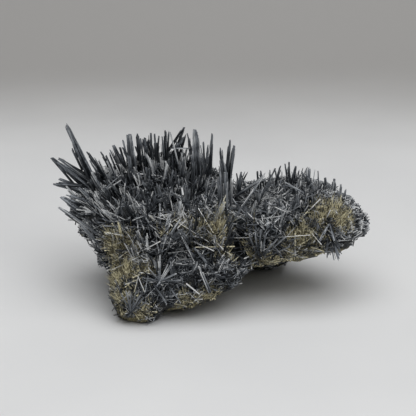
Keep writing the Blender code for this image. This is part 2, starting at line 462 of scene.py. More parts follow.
@dataclass(frozen=True)
class FloorFinish(Finish):
    """Pale matt sheet, with painted shade that makes it darker and warmer towards the back, where it
    climbs.
    """

    name: str = "pale_sheet"
    light: tuple = rgba(0.735, 0.740, 0.742)
    shade: tuple = rgba(0.690, 0.695, 0.700)
    # Painted shade for the back of the sheet, where it climbs.
    far: tuple = rgba(0.400, 0.392, 0.382)
    roughness: float = 0.85
    mottle_noise: tuple = (6.0, 3.0, 0.5)
    mottle_depth: float = 0.06
    mottle_limits: tuple = (0.3, 0.7)
    far_limits: tuple = (0.20, 0.50)

    def surface(self, graph: Graph, place: Signal) -> dict:
        """Feed the shader with a faint mottle and painted shade falling off to the back.

        Args:
            graph: The tree being written.
            place: Places in the object's own space, in metres.

        Returns:
            Values and signals by the shader's input names.
        """
        mottle = graph.noise(place, *self.mottle_noise)
        _, depth, _ = graph.parts(place)
        colour = graph.blend(mottle.ramp(*self.mottle_limits), self.light, self.shade)
        # Painted shade: the sheet darkens towards the back.
        back = (depth + mottle * self.mottle_depth).ramp(*self.far_limits)
        colour = graph.blend(back, colour, self.far)
        return {"Base Color": colour, "Roughness": self.roughness}


# --- What the piece is made of, all lengths in millimetres ---


class Region(Enum):
    """The parts of the piece whose needles are made together."""

    CROWN = "crown"
    FLARE = "flare"
    FRONT = "front"
    LEDGE = "ledge"
    REAR = "rear"


class Tip(Enum):
    """How a blade ends; the value picks the shape in the growth tree."""

    POINTED = 0
    BROKEN = 1
    CHISEL = 2


class TipShape(NamedTuple):
    """The width and thickness left at a prism's tip, and how far it slants, in prism lengths."""

    width: float
    thickness: float
    slant: float


@dataclass(frozen=True)
class Lump:
    """A lump of crusted matrix: centre and radii, boxiness, roughness and facet level."""

    name: str
    centre: Vector
    radii: Vector
    square: float = 1.0
    rough: float = 0.08
    detail: int = 2
    lean: float = 0.0

    def skin(self, normal: Vector) -> Vector:
        """Find the skin in a direction from the centre.

        Args:
            normal: The direction.

        Returns:
            The point of the skin.
        """
        boxed = Vector(math.copysign(abs(part) ** self.square, part) for part in normal)
        offset = self.radii * boxed
        offset.rotate(Matrix.Rotation(math.radians(self.lean), 3, "Y"))
        return self.centre + offset


@dataclass(frozen=True)
class Lobe:
    """A half of the piece to be covered evenly: centre, span in x, and number of blades tried."""

    centre: Vector
    left: float
    right: float
    count: int


@dataclass(frozen=True)
class Habit:
    """How needles stand in a fan, and how the blades among them are split.

    density is the share of roots that bear a fan, crossing the share of needles laid across,
    stand is how far a needle's tip may stand off the skin, rise its lean towards the vertical,
    core the share of a blade's width in its main prism, and splay the lean of its splinters.
    """

    density: float
    count: int
    length: tuple
    width: tuple
    cone: float
    crossing: float
    stand: float
    rise: float
    tone: tuple
    core: float
    splinters: int
    splay: float


@dataclass(frozen=True)
class Zone:
    """How blades and needles grow near a place, and where they radiate from."""

    name: str
    place: Vector
    focus: Vector
    length: tuple
    width: tuple
    spread: float
    region: Region
    habit: Habit


@dataclass(frozen=True)
class Fan:
    """Blades radiating from one root, with their spread in degrees about one direction."""

    root: Vector
    heading: Vector
    count: int
    length: tuple
    width: tuple
    spread: float


@dataclass(frozen=True)
class Crystal:
    """One prism from foot to tip, with its half width, flatness and roll."""

    foot: Vector
    tip: Vector
    half_width: float
    flatness: float
    roll: float
    lone: bool = False


@dataclass(frozen=True)
class OchrePatch:
    """A place where the ochre coat gathers: centre, reach and strength."""

    centre: Vector
    reach: float
    strength: float


@dataclass(frozen=True)
class FrontView:
    """The straight-on view that the camera has, for placing needles by where they are seen."""

    distance: float = 750.0
    elevation: float = 20.0
    width: float = 210.0
    pixels: float = 416.0
    target: Vector = field(default_factory=lambda: Vector((0.0, 0.0, 45.0)))

    def backward(self) -> Vector:
        """Point from the target to the eye."""
        rise = math.radians(self.elevation)
        return Vector((0.0, -math.cos(rise), math.sin(rise)))

    def eye(self) -> Vector:
        """Find where the view is seen from."""
        return self.target + self.backward() * self.distance

    def sight(self, place: tuple) -> Vector:
        """Find the direction in which a place of the view is seen.

        Args:
            place: Column and row in the view.

        Returns:
            The direction from the eye, of unit length.
        """
        scale = self.width / self.pixels
        across = Vector((1.0, 0.0, 0.0)) * (place[0] - self.pixels / 2.0) * scale
        upward = Vector((1.0, 0.0, 0.0)).cross(-self.backward())
        raised = upward * (self.pixels / 2.0 - place[1]) * scale
        return (across + raised - self.backward() * self.distance).normalized()

    def at_depth(self, place: tuple, depth: float) -> Vector:
        """Find the point seen at a place of the view, at a given y.

        Args:
            place: Column and row in the view.
            depth: The point's y.

        Returns:
            The point.
        """
        sight = self.sight(place)
        return self.eye() + sight * ((depth - self.eye().y) / sight.y)

    def laid_on(self, skin: BVHTree, mark: "Stroke") -> tuple[Vector, Vector]:
        """Lay a needle on the skin so that it is seen where it should be.

        Args:
            skin: The skin, which foot or tip or both must lie before.
            mark: The needle as it is seen.

        Returns:
            Its foot, 1 mm off the skin, and its tip.
        """
        low, _, _, _ = skin.ray_cast(self.eye(), self.sight(mark.foot))
        high, _, _, _ = skin.ray_cast(self.eye(), self.sight(mark.tip))
        low = low or self.at_depth(mark.foot, high.y)
        high = high or self.at_depth(mark.tip, low.y)
        return low - self.sight(mark.foot), high - self.sight(mark.tip) * mark.reach


class StubKind(NamedTuple):
    """A kind of coated stub: its lean in degrees, its size, and how far it may stand off the skin."""

    lean: float
    length: tuple
    width: tuple
    highest: float


@dataclass(frozen=True)
class Splitting:
    """How a blade is split; the paired ranges are shares of the blade's own measures."""

    coat: float = 0.75
    # Painted shade: a blade pointing downward keeps only this share of its tone.
    hanging_shade: float = 0.4
    core_tone: float = 0.7
    fewest: int = 2
    per_width: float = 2.5
    thinnest: float = 0.45
    reaches: tuple = (0.55, 1.0)
    offsets: tuple = (0.10, 0.30)
    widths: tuple = (0.18, 0.36)
    flatnesses: tuple = (0.5, 0.9)
    tones: tuple = (0.35, 2.0)
    coats: tuple = (0.6, 1.2)


@dataclass(frozen=True)
class Fanning:
    """How the needles of a fan vary, and how those laid across their neighbours lie.

    depth and scatter are in millimetres, lifts in degrees, heights in shares of the habit's stand,
    and what follows set_back holds for needles laid across.
    """

    coat: float = 0.8
    normal_pull: float = 0.6
    spread_share: float = 0.8
    sizes: tuple = (0.7, 1.25)
    size_lost_to_coat: float = 0.6
    width_gained_by_coat: float = 0.3
    depth: float = 1.2
    scatter: float = 1.4
    flatnesses: tuple = (0.5, 0.95)
    tones: tuple = (0.35, 1.8)
    coats: tuple = (0.5, 1.2)
    shortest_share: float = 0.3
    lifts: tuple = (-2.0, 24.0)
    heights: tuple = (-0.1, 0.65)
    set_back: float = 0.4
    crossing_length: float = 1.25
    crossing_width: float = 0.85
    # Painted light and shade: a needle laid across is darker the lower it lies among the others,
    # lighter higher up.
    lowest_painted_light: float = 0.3
    painted_light_by_height: float = 1.5


@dataclass(frozen=True)
class Companionship:
    """How a noted needle stands, and the slim ones beside it.

    The paired ranges are shares of its own measures. depth, fine_width and thinnest are in
    millimetres, and lean is in degrees.
    """

    depth: float = 3.0
    coat: float = 0.5
    fine_width: float = 1.2
    core: float = 0.6
    core_flatness: float = 0.75
    fewest: float = 2.0
    per_width: float = 2.0
    thinnest: float = 0.5
    lean: float = 2.0
    flatness: float = 0.8
    offsets: tuple = (0.2, 0.45)
    reaches: tuple = (0.6, 1.0)
    widths: tuple = (0.25, 0.45)
    tones: tuple = (0.5, 1.7)


@dataclass(frozen=True)
class Stubbing:
    """How the ochre patches are crowded with coated stubs and crumbs.

    per_area counts the tries for each square millimetre of reach; lowest is a height, and deepest is
    how far a root may lie off the skin, both in millimetres.
    """

    per_area: float = 3.0
    reach: float = 1.15
    lowest: float = 1.5
    least_coat: float = 0.25
    crumb_share: float = 0.25
    normal_pull: float = 0.6
    deepest: float = -0.4
    flatness: float = 0.8
    tones: tuple = (0.0, 1.4)


class Pocket(NamedTuple):
    """A dark pocket that hardly any needle grows in."""

    centre: Vector
    reach: float


class LongCrystal(NamedTuple):
    """A crystal that stands out by itself."""

    foot: Vector
    tip: Vector
    width: float


class Stroke(NamedTuple):
    """A needle that catches the eye, noted by where it is seen.

    Foot and tip are column and row in the front view, and width is in millimetres. Reach is in
    millimetres too: how far the tip stands off the skin, or the tip's y on the skyline.
    """

    foot: tuple
    tip: tuple
    reach: float
    width: float
    tone: float


@dataclass
class Needle:
    """One prism for the growth tree, from its root along its heading."""

    root: Vector
    heading: Vector
    length: float
    width: float
    flatness: float
    roll: float
    tip: Tip
    tone: float
    coat: float

    def end(self) -> Vector:
        """Find where its tip is."""
        return self.root + self.heading * self.length


def rows(kind: type, *table: tuple) -> tuple:
    """Make one item of each row of a table.

    Args:
        kind: The class of the items.
        table: The rows, with the values in the order of its fields and a triple for a vector.

    Returns:
        The items.
    """

    def read(value: object) -> object:
        """Turn a triple into a vector, and leave anything else."""
        return Vector(value) if isinstance(value, tuple) and len(value) == 3 else value

    return tuple(kind(*(read(value) for value in row)) for row in table)


TIP_SHAPES = {
    Tip.POINTED: TipShape(0.12, 0.12, 0.0),
    Tip.BROKEN: TipShape(0.92, 0.92, 0.02),
    Tip.CHISEL: TipShape(0.85, 0.15, 0.01),
}
ANY_TIP = (Tip.BROKEN, Tip.CHISEL, Tip.POINTED)
MOSTLY_CHISEL = (Tip.BROKEN, Tip.CHISEL, Tip.CHISEL, Tip.POINTED)
CRUMB = StubKind(80.0, (0.8, 1.7), (0.8, 1.4), 1.8)
STUB = StubKind(28.0, (2.5, 6.5), (0.5, 1.0), 0.2)

LUMPS = rows(
    Lump,
    ("front_foot", (-33.5, -32, 13), (13.5, 13, 16), 0.8, 0.08, 2, 4.0),
    ("front_rim", (-8, -27, 17.8), (28, 14, 12), 0.85, 0.09, 2, -20.0),
    ("left_body", (-31, -8, 30), (25, 31, 24), 0.9, 0.08, 1),
    ("left_shoulder", (-45.5, 2, 40), (21, 28, 21.5), 1.0, 0.07, 1),
    ("centre_body", (-3, -3, 34), (27, 30, 23), 0.9, 0.08, 1),
    ("crown", (-20, 6, 50), (34, 24, 16), 1.0, 0.06, 1),
    ("rear_left_foot", (-30, 20, 18), (25, 21, 24), 0.85, 0.09, 1),
    ("rear_ridge", (12, 19, 33), (34, 20, 16), 0.9, 0.09, 1),
    ("rear_right_foot", (24, 33, 16), (20, 13, 21), 0.85, 0.12, 1),
    ("right_body", (36, 1, 34), (26, 27, 15), 0.85, 0.09),
    ("right_end", (58, -4, 38.5), (17, 20, 15), 0.88, 0.10, 2, 4.0),
    ("saddle_root", (19, -11, 26), (13, 15, 9.5), 0.9, 0.08, 1),
    ("right_crest", (42, 8, 44), (25, 18, 11), 1.0, 0.06, 1),
    ("belly_foot", (-17, -12, 15), (15, 13, 18), 0.85, 0.09, 1),
    ("foot_bridge", (-22, -31, 13), (15, 12, 10.5), 0.9, 0.08, 1, -12.0),
    ("right_nose", (71, -3, 38), (9, 12, 8), 0.9, 0.10, 1),
)

HOLLOWS = rows(
    Lump,
    ("branch_hollow", (-27, -30, 40), (7, 10, 5), 1.0, 0.12, 1),
    ("saddle_cavity", (15, -25, 30), (7, 12, 8), 1.0, 0.12, 1),
    ("ledge_cleft", (42, -25, 42), (6, 9, 6), 1.0, 0.12, 1),
)

POCKETS = rows(
    Pocket,
    ((-25, -13, 49), 6.5),
    ((15, -25, 30), 9.5),
    ((42, -25, 42), 8.5),
)

LOBES = rows(
    Lobe,
    ((-18, 0, 26), -90.0, 17.0, 330),
    ((44, 0, 34), 17.0, 90.0, 205),
)

STANDING = Habit(0.60, 7, (6, 15), (0.6, 1.2), 22.0, 0.18, 8.0, 0.0, (0.02, 1.60), 0.46, 8, 4.5)
SWEPT = Habit(0.60, 7, (6, 15), (0.6, 1.2), 18.0, 0.14, 8.0, 0.0, (0.02, 1.60), 0.48, 8, 4.0)
JACKSTRAW = Habit(0.80, 6, (8, 20), (0.38, 0.74), 36.0, 0.62, 6.0, 0.0, (0.0, 1.85), 0.36, 8, 7.0)
LEDGED = Habit(0.80, 6, (8, 20), (0.36, 0.70), 36.0, 0.62, 6.0, 0.0, (0.0, 1.50), 0.36, 8, 7.0)
CRESTED = Habit(0.80, 6, (7, 18), (0.38, 0.74), 34.0, 0.60, 5.5, 0.0, (0.02, 1.75), 0.36, 7, 6.0)
FELTED = Habit(1.00, 18, (4, 8), (0.38, 0.74), 40.0, 0.65, 2.8, 0.6, (0.0, 1.25), 0.40, 6, 6.0)
STUBBY = Habit(1.00, 9, (3, 7), (0.5, 1.0), 24.0, 0.12, 2.6, 0.3, (0.05, 1.50), 0.50, 5, 5.0)
ENDED = Habit(1.00, 10, (3, 7), (0.45, 0.9), 32.0, 0.20, 3.0, 0.5, (0.10, 1.90), 0.50, 5, 5.0)
LONE = Habit(1.00, 1, (8, 16), (1.0, 2.0), 4.0, 0, 99.0, 0.0, (0.10, 1.05), 0.54, 8, 0.7)

ZONES = rows(
    Zone,
    ("crown", (-18, 4, 62), (-18, 4, -40), (11, 20), (1.8, 3.2), 16.0, Region.CROWN, STANDING),
    ("flare", (-62, 2, 52), (-28, 0, 16), (10, 17), (2.0, 3.4), 12.0, Region.FLARE, SWEPT),
    ("left_front", (-36, -34, 36), (-30, -8, 4), (10, 18), (1.9, 3.4), 32.0, Region.FRONT, JACKSTRAW),
    ("centre_front", (-6, -28, 40), (-8, -6, 2), (12, 20), (1.9, 3.4), 32.0, Region.FRONT, JACKSTRAW),
    ("rim", (-4, -38, 20), (-12, -20, -4), (7, 12), (1.8, 3.0), 30.0, Region.FRONT, FELTED),
    ("foot", (-38, -46, 12), (-34, -26, -4), (5, 9), (1.8, 3.0), 26.0, Region.FRONT, FELTED),
    ("left_flank", (-60, -8, 28), (-30, 0, 6), (4, 8), (1.8, 3.0), 16.0, Region.FLARE, STUBBY),
    ("left_back", (-28, 34, 30), (-22, 14, 0), (8, 14), (1.8, 3.0), 30.0, Region.REAR, JACKSTRAW),
    ("saddle", (15, 0, 52), (10, 0, 10), (8, 14), (1.6, 2.8), 28.0, Region.CROWN, CRESTED),
    ("right_front", (38, -24, 36), (38, -6, 10), (9, 15), (1.7, 3.0), 34.0, Region.LEDGE, LEDGED),
    ("right_crest", (42, 6, 54), (42, 4, 8), (7, 12), (1.5, 2.6), 24.0, Region.LEDGE, CRESTED),
    ("right_end", (72, -6, 42), (46, 0, 24), (2, 4.5), (2.0, 3.4), 28.0, Region.LEDGE, ENDED),
    ("right_back", (42, 28, 34), (42, 12, 10), (7, 12), (1.6, 2.8), 30.0, Region.REAR, JACKSTRAW),
)

FANS = rows(
    Fan,
    ((-24, -40, 20), (0.1, -0.4, 1.0), 9, (14, 19), (1.2, 2.2), 45.0),
    ((-38, -42, 7), (0.1, -0.3, 1.0), 7, (10, 14), (1.0, 2.0), 45.0),
    ((27, -25, 24), (0.2, -0.4, 1.0), 9, (12, 18), (1.0, 2.0), 45.0),
    ((60, -23, 38), (0.0, -0.4, -1.0), 7, (9, 13), (1.0, 2.0), 40.0),
)

LONG_CRYSTALS = rows(
    LongCrystal,
    ((-54, 0, 54), (-70.5, 4, 88.5), 2.8),
    ((-58, -2, 55), (-78, -2, 72.5), 3.2),
    ((-57, 2, 57), (-74.5, 2, 71), 3.0),
    ((-56, -2, 54), (-74.5, -4, 62), 2.8),
    ((-58, -4, 54), (-77, -6, 60), 3.2),
    ((-55, -6, 43), (-73, -8, 53.5), 2.6),
    ((-58, -8, 35), (-74.5, -10, 49), 1.8),
    ((-42, 6, 60), (-47.5, 6, 76.5), 3.4),
    ((-37, 4, 62), (-39, 4, 83), 4.0),
    ((-34, 8, 62), (-35.5, 8, 82), 3.6),
    ((-28, 4, 63), (-28.5, 4, 83.5), 2.2),
    ((-21, 4, 63), (-19.5, 4, 84.5), 2.0),
    ((-19, 8, 66), (-12, 8, 85), 2.4),
    ((-16, 0, 66), (-11, 0, 84), 2.2),
    ((-7, -4, 60), (-6.5, -4, 88), 4.2),
    ((0.5, 0, 60), (2, 0, 84.5), 1.6),
    ((-2, -6, 60), (0, -6, 80.5), 1.8),
    ((9, -6, 50), (13, -4, 79.5), 2.8),
    ((9, -6, 50), (11, -4, 82.5), 2.2),
    ((8, -6, 52), (6, -4, 78.5), 2.4),
    ((14, -2, 50), (16.5, -2, 65), 2.0),
    ((-50, 6, 57), (-60.5, 8, 72), 2.0),
    ((-46, 4, 57), (-53.5, 4, 73.5), 1.8),
    ((-38, 2, 61), (-42.5, 2, 80.5), 1.8),
    ((19.5, -22, 37), (18.5, -25, 55), 2.0),
    ((22.5, -22, 37), (23, -25, 55), 2.0),
    ((20, -10, 54), (28.5, -6, 66), 1.8),
    ((45.5, 6, 48), (50.5, 6, 60), 1.4),
    ((42.5, 6, 50), (44.5, 6, 65.5), 1.6),
    ((40.5, 8, 50), (41, 8, 67), 1.6),
    ((36.5, 4, 50), (33.5, 4, 65), 1.6),
    ((29.5, 6, 48), (26.5, 6, 63), 1.6),
    ((56, 0, 52), (55, 0, 65), 1.2),
    ((-1, -32, 24), (-8.5, -37, 36), 1.8),
    ((2, -32, 16), (-4, -38, 30), 1.8),
)

VIEW = FrontView()

# Needles that catch the eye on the front; their reach is how far the tip stands off the skin.
FRONT_STROKES = rows(
    Stroke,
    # Branching over the hollow in the front.
    ((145, 200), (184, 187), 5, 1.6, 0.75),
    ((150, 205), (176, 193), 4, 1.5, 0.6),
    ((152, 209), (121, 206), 4, 1.2, 0.6),
    ((137.5, 212), (144, 229), 4, 0.9, 1),
    ((140, 211), (149, 222), 4, 0.9, 0.9),
    ((137, 212), (138, 228), 4, 0.8, 0.9),
    ((136, 212), (128, 219), 4, 0.8, 0.8),
    ((137, 210), (146, 203), 4, 0.9, 0.7),
    # Along the left flank.
    ((100, 235), (59, 207), 3, 1.1, 0.8),
    ((96, 206), (79, 187), 4, 1.6, 0.6),
    # Upright in the middle.
    ((160, 228), (160, 203), 4, 1, 0.8),
    ((161, 250), (171, 214), 5, 1.9, 0.8),
    ((166, 240), (180.5, 219), 5, 1.1, 0.9),
    # Below the crown and the column beside the saddle.
    ((170, 192), (186, 201), 4, 2.4, 0.6),
    ((224, 214), (204, 195), 4, 1.6, 0.55),
    ((222, 211), (210, 199), 4, 1.2, 0.8),
    ((226, 214), (225, 172), 4, 2.6, 0.55),
    ((221, 212), (220, 170), 4, 2.2, 0.55),
    ((230, 208), (231, 178), 4, 1.8, 0.8),
    ((256, 207), (275.5, 168), 4, 1.4, 0.35),
    ((246, 207.5), (230, 205), 4, 1.2, 1.1),
    # Over the middle pocket.
    ((256, 233), (246, 208), 5, 1.6, 0.9),
    ((191.5, 243), (179, 229), 5, 1.3, 0.6),
    ((192.5, 246), (189, 225), 5, 1.4, 0.35),
    ((219.5, 250), (225, 236), 5, 1.2, 0.9),
    ((215.6, 247), (215, 235), 4, 0.8, 0.8),
    ((207, 287), (177.5, 228), 4, 1.2, 0.75),
    ((217, 277), (194, 247), 5, 1.4, 0.8),
    ((207.5, 287), (199, 266), 6, 2, 0.9),
    ((147.5, 260), (146, 236), 4, 2, 0.75),
    ((155, 236), (151, 221), 4, 1.2, 0.7),
    # The fan over the rim.
    ((160, 281), (160, 254), 6, 1.1, 0.95),
    ((160, 281), (175, 259), 6, 1.3, 0.9),
    ((160, 281), (168, 264), 7, 1, 0.9),
    ((160, 281), (177, 273), 5, 1, 0.85),
    ((160, 281), (148, 267), 5, 0.9, 0.9),
    ((160, 281), (147, 278), 4, 0.9, 0.7),
    ((160, 281), (153, 259), 5, 0.8, 0.9),
    ((160, 281), (181, 280), 4, 0.9, 0.6),
    # Low on the rim, and the fan over the foot.
    ((155, 286), (167, 304), 3, 0.7, 0.65),
    ((170, 287), (181, 303), 3, 0.6, 0.6),
    ((131, 312), (121, 292), 3, 0.7, 0.65),
    ((131, 312), (141, 294), 3, 0.7, 0.7),
    ((131, 312), (131, 294), 4, 0.7, 0.6),
    ((131, 312), (147, 301), 3, 0.7, 0.6),
    ((131, 312), (136, 292), 4, 0.7, 0.6),
    ((131, 312), (126, 290), 3, 0.6, 0.55),
    ((131, 312), (144, 297), 3, 0.6, 0.5),
    # The fan at the root of the ledge.
    ((258.5, 260), (255, 231), 6, 1.3, 0.6),
    ((258.5, 260), (266.5, 233), 7, 1.2, 0.6),
    ((258.5, 260), (286, 236), 6, 1.1, 0.6),
    ((258.5, 260), (277, 239), 7, 1.1, 0.6),
    ((258.5, 260), (249, 234), 5, 1, 0.6),
    ((258.5, 260), (261, 229), 6, 1.1, 0.6),
    ((258.5, 260), (272, 243), 6, 0.9, 0.6),
    ((258.5, 260), (290, 246), 4, 0.9, 0.6),
    # Across the ledge.
    ((267.5, 224), (269, 201), 5, 1.8, 0.75),
    ((267.5, 233), (281.5, 214), 5, 1.2, 0.75),
    ((291.5, 220), (279, 201), 5, 1.5, 0.95),
    ((282.5, 204.5), (298, 194), 5, 1.2, 1),
    ((311, 199), (290, 187), 3, 1, 0.7),
    ((295, 239), (295, 256), 4, 1, 0.9),
    # Hanging over the ledge, and low on the rim one face with a tone far above the rest, painted near
    # white as a painted glint.
    ((329, 223), (320, 241), 5, 1.2, 0.6),
    ((329, 223), (326, 252), 5, 1, 0.4),
    ((329, 223), (334, 241), 5, 1, 0.6),
    ((329, 223), (340, 251), 4, 1, 0.4),
    ((329, 223), (347, 238), 4, 1, 0.5),
    ((320, 240), (329, 253), 3, 1.4, 0.5),
    ((191, 287), (199.5, 294), 4, 0.9, 2.4),
)

# Prongs against the light along the top, from the left to the right; their reach is the tip's y.
SKYLINE_STROKES = rows(
    Stroke,
    ((87, 172), (66.5, 124.5), 2, 3.2, 0.45),
    ((72, 182), (50.8, 157.5), -2, 1.9, 0.3),
    ((80, 184), (54, 160), -2, 1.5, 0.2),
    ((84, 184), (57, 162), 0, 1.8, 0.35),
    ((88, 175), (58.5, 157.8), 2, 1.6, 0.45),
    ((86, 180), (60, 163), 1, 1.8, 0.25),
    ((88, 184), (64, 165), 1, 1.8, 0.4),
    ((76, 186), (53, 184), -6, 2, 0.25),
    ((72, 183), (59, 179), -4, 1, 0.4),
    ((80, 204), (61, 197), -12, 1.8, 0.45),
    ((84, 200), (66, 195), -10, 1.8, 0.5),
    ((82, 210), (63, 199), -13, 1.6, 0.6),
    ((76, 217), (58.8, 207), -16, 1.2, 0.15),
    ((80, 165), (72, 148), 2, 1.2, 0.4),
    ((76, 152), (70, 135), 3, 1.5, 0.5),
    ((101, 172), (86.5, 151.5), 3, 1.9, 0.25),
    ((111, 170), (100.5, 151.5), 2, 1.7, 0.25),
    ((114, 172), (106, 155), 2, 1.5, 0.3),
    ((114, 164), (109.5, 152.5), 2, 1.2, 0.3),
    ((121, 161), (112.7, 145.5), 3, 2, 0.3),
    ((124, 162), (119.3, 147), 3, 1.6, 0.25),
    ((126.5, 154), (123.3, 141), 3, 0.9, 0.25),
    ((130, 165), (127.5, 134.5), 2, 2.3, 0.45),
    ((135, 165), (131.5, 138), 1, 1.6, 0.6),
    ((139.5, 158), (137.3, 133.5), 3, 1.6, 0.15),
    ((143, 156), (140.5, 138), 3, 1, 0.25),
    ((146.5, 160), (145, 139), 2, 2, 0.2),
    ((151, 158), (150.8, 134.5), 3, 1.5, 0.2),
    ((156, 156), (154.5, 133.5), 2, 1.6, 0.15),
    ((157.5, 156), (159, 135.5), 3, 1.5, 0.2),
    ((166, 154), (165, 130), 3, 1.7, 0.2),
    ((164, 154), (162, 136), 2, 1.3, 0.4),
    ((172, 146), (184.7, 127), 2, 1.7, 0.2),
    ((174, 153), (184, 137), 0, 2, 0.25),
    ((178, 158), (176, 140), 1, 1.5, 0.3),
    ((176, 148), (190, 148.5), -2, 0.9, 0.7),
    ((193.5, 156), (187, 133), 0, 0.9, 0.5),
    ((197, 170), (195.7, 129.5), -4, 1.7, 0.6),
    ((193, 170), (194, 136), -5, 1.5, 0.8),
    ((201, 172), (198.5, 138), -4, 1.5, 0.7),
    ((205, 172), (200.5, 145), -4, 1.3, 0.5),
    ((204.5, 165), (203.3, 141.5), -2, 1, 0.35),
    ((207.5, 170), (208, 144.5), -3, 1.3, 0.3),
    ((210.7, 168), (212.3, 134), -3, 1.1, 0.35),
    ((223.5, 180), (220.3, 148), -6, 1.7, 0.35),
    ((227, 182), (222.5, 158), -7, 1.6, 0.6),
    ((226, 176), (230.2, 139.8), -5, 1.7, 0.3),
    ((229.5, 180), (234.2, 145), -5, 1.6, 0.4),
    ((231, 182), (232.5, 148), -6, 1.3, 0.5),
    ((238.5, 186), (236.5, 173), -2, 1.3, 0.3),
    ((240, 188), (241.5, 171.5), 0, 1.3, 0.35),
    ((245.5, 187), (240.5, 172), 0, 1.2, 0.4),
    ((249.5, 190), (251, 181), 2, 1, 0.3),
    ((258, 184), (257.3, 171), 4, 1.1, 0.2),
    ((260.5, 184), (260.7, 172), 4, 0.9, 0.3),
    ((266, 188), (275.3, 168), 0, 1.3, 0.3),
    ((276, 180), (280.8, 165.5), 2, 1.4, 0.2),
    ((287, 180), (285, 163.5), 4, 0.9, 0.3),
    ((290, 182), (288.7, 162), 4, 1.2, 0.2),
    ((291.5, 182), (295.5, 166), 4, 1.4, 0.3),
    ((310, 186), (301.3, 171), 4, 1, 0.4),
    ((311, 188), (305.5, 173.5), 2, 1, 0.5),
    ((314, 192), (310, 179), 2, 0.9, 0.5),
    ((310.5, 184.5), (317.8, 179), 0, 0.8, 0.6),
    ((326, 190), (325, 177.5), 4, 2.2, 0.45),
    ((333, 192), (334.5, 178.5), 4, 2.4, 0.55),
    ((330, 195), (329, 183), 2, 1.6, 0.6),
    ((340, 200), (341, 184), 2, 1.6, 0.6),
    ((344, 204), (346, 189), 0, 1.4, 0.7),
    ((347, 210), (350, 196), 0, 1.4, 0.7),
    ((350, 215), (355, 204), -2, 1.4, 0.7),
    # Leaning across the flare, the crown, the saddle and the ledge.
    ((80, 213.5), (60, 197), -14, 1.6, 0.5),
    ((179.5, 169), (170, 131.5), -9, 1, 1),
    ((241, 191.5), (265, 176), -4, 1.3, 1.1),
    ((243, 192.5), (266, 178), -3, 0.9, 0.9),
    ((308, 195.5), (284.5, 182), -6, 1.2, 0.9),
    ((94.5, 240), (78, 222), -20, 1.3, 0.6),
)

OCHRE_PATCHES = rows(
    OchrePatch,
    ((-45, -30, 35), 10.0, 1.1),
    ((-42, -36, 28), 11.0, 1.1),
    ((-48, -36, 20), 9.0, 1.1),
    ((-42, -42, 12), 8.0, 0.9),
    ((-36, -36, 37), 7.0, 0.7),
    ((-28, -38, 27), 6.0, 0.8),
    ((-31, -43, 7), 6.0, 0.9),
    ((-10, -40, 11), 7.0, 0.9),
    ((0, -39, 13), 7.0, 0.9),
    ((-16, -26, 45), 9.0, 0.65),
    ((-4, -30, 44), 10.0, 0.75),
    ((7, -24, 44), 9.0, 0.7),
    ((3, -27, 37), 8.0, 0.7),
    ((9, -27, 26), 7.0, 0.7),
    ((21, -24, 33), 5.0, 0.7),
    ((27, -24, 24), 6.0, 0.8),
    ((34, -24, 26), 6.0, 0.8),
    ((42, -23, 29), 6.0, 0.8),
    ((46, -23, 37), 9.0, 0.85),
    ((52, -22, 40), 8.0, 0.8),
    ((55, -20, 48), 8.0, 0.9),
    ((61, -17, 50), 9.0, 0.9),
    ((67, -18, 45), 8.0, 0.95),
    ((57, -20, 27), 5.0, 0.7),
    ((-42, 36, 12), 9.0, 0.9),
    ((-18, 40, 22), 8.0, 0.8),
    ((-56, 20, 24), 8.0, 0.7),
    ((5, 36, 30), 7.0, 0.7),
    ((32, 44, 14), 8.0, 0.9),
    ((14, 42, 8), 6.0, 0.8),
    ((52, 22, 30), 9.0, 0.9),
    ((72, 6, 34), 7.0, 0.8),
)


def sideways(axis: Vector, rng: Random) -> Vector:
    """Pick any direction square to an axis.

    Args:
        axis: The axis, of unit length.
        rng: The source of chance.

    Returns:
        The direction, of unit length.
    """
    side = axis.orthogonal().normalized()
    side.rotate(Matrix.Rotation(rng.uniform(0.0, math.tau), 3, axis))
    return side


def tilt(heading: Vector, degrees: float, rng: Random) -> Vector:
    """Lean a direction in a random sense.

    Args:
        heading: The direction to lean.
        degrees: The most that it may lean.
        rng: The source of chance.

    Returns:
        The new direction, of unit length.
    """
    side = sideways(heading, rng)
    lean = math.radians(degrees) * math.sqrt(rng.random())
    return (heading * math.cos(lean) + side * math.sin(lean)).normalized()


def spiral(count: int) -> Iterable[Vector]:
    """Spread directions evenly over a sphere.

    Args:
        count: How many.

    Yields:
        The directions, from the top down.
    """
    for index in range(count):
        up = 1.0 - 2.0 * (index + 0.5) / count
        ring = math.sqrt(1.0 - up * up)
        turn = index * GOLDEN_ANGLE
        yield Vector((ring * math.cos(turn), ring * math.sin(turn), up))


def ochre_at(point: Vector) -> float:
    """Tell how much ochre coat lies at a place.

    Args:
        point: The place, before the piece is centred.

    Returns:
        The share from 0 to 1.
    """
    most = 0.0
    for patch in OCHRE_PATCHES:
        nearness = 1.0 - (point - patch.centre).length / (patch.reach * COAT_REACH)
        most = max(most, patch.strength * max(0.0, nearness) * COAT_STRENGTH)
    return min(1.0, most * (COAT_EVEN + noise.noise(point * COAT_GRAIN)))


def link(name: str, mesh: bpy.types.Mesh) -> bpy.types.Object:
    """Put a mesh in the scene.

    Args:
        name: The new object's name.
        mesh: Its mesh.

    Returns:
        The object.
    """
    made = bpy.data.objects.new(name, mesh)
    bpy.context.scene.collection.objects.link(made)
    return made


def evaluated_mesh(source: bpy.types.Object) -> bpy.types.Mesh:
    """Copy an object's mesh as its modifiers leave it.

    Args:
        source: The object.

    Returns:
        A mesh of its own.
    """
    graph = bpy.context.evaluated_depsgraph_get()
    return bpy.data.meshes.new_from_object(source.evaluated_get(graph), depsgraph=graph)


def dress(piece: bpy.types.Object) -> None:
    """Let a finished piece stand for the solid and ride with it.

    Args:
        piece: The piece.
    """
    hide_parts(NODE)
    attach(piece, BODY)


# --- The matrix ---


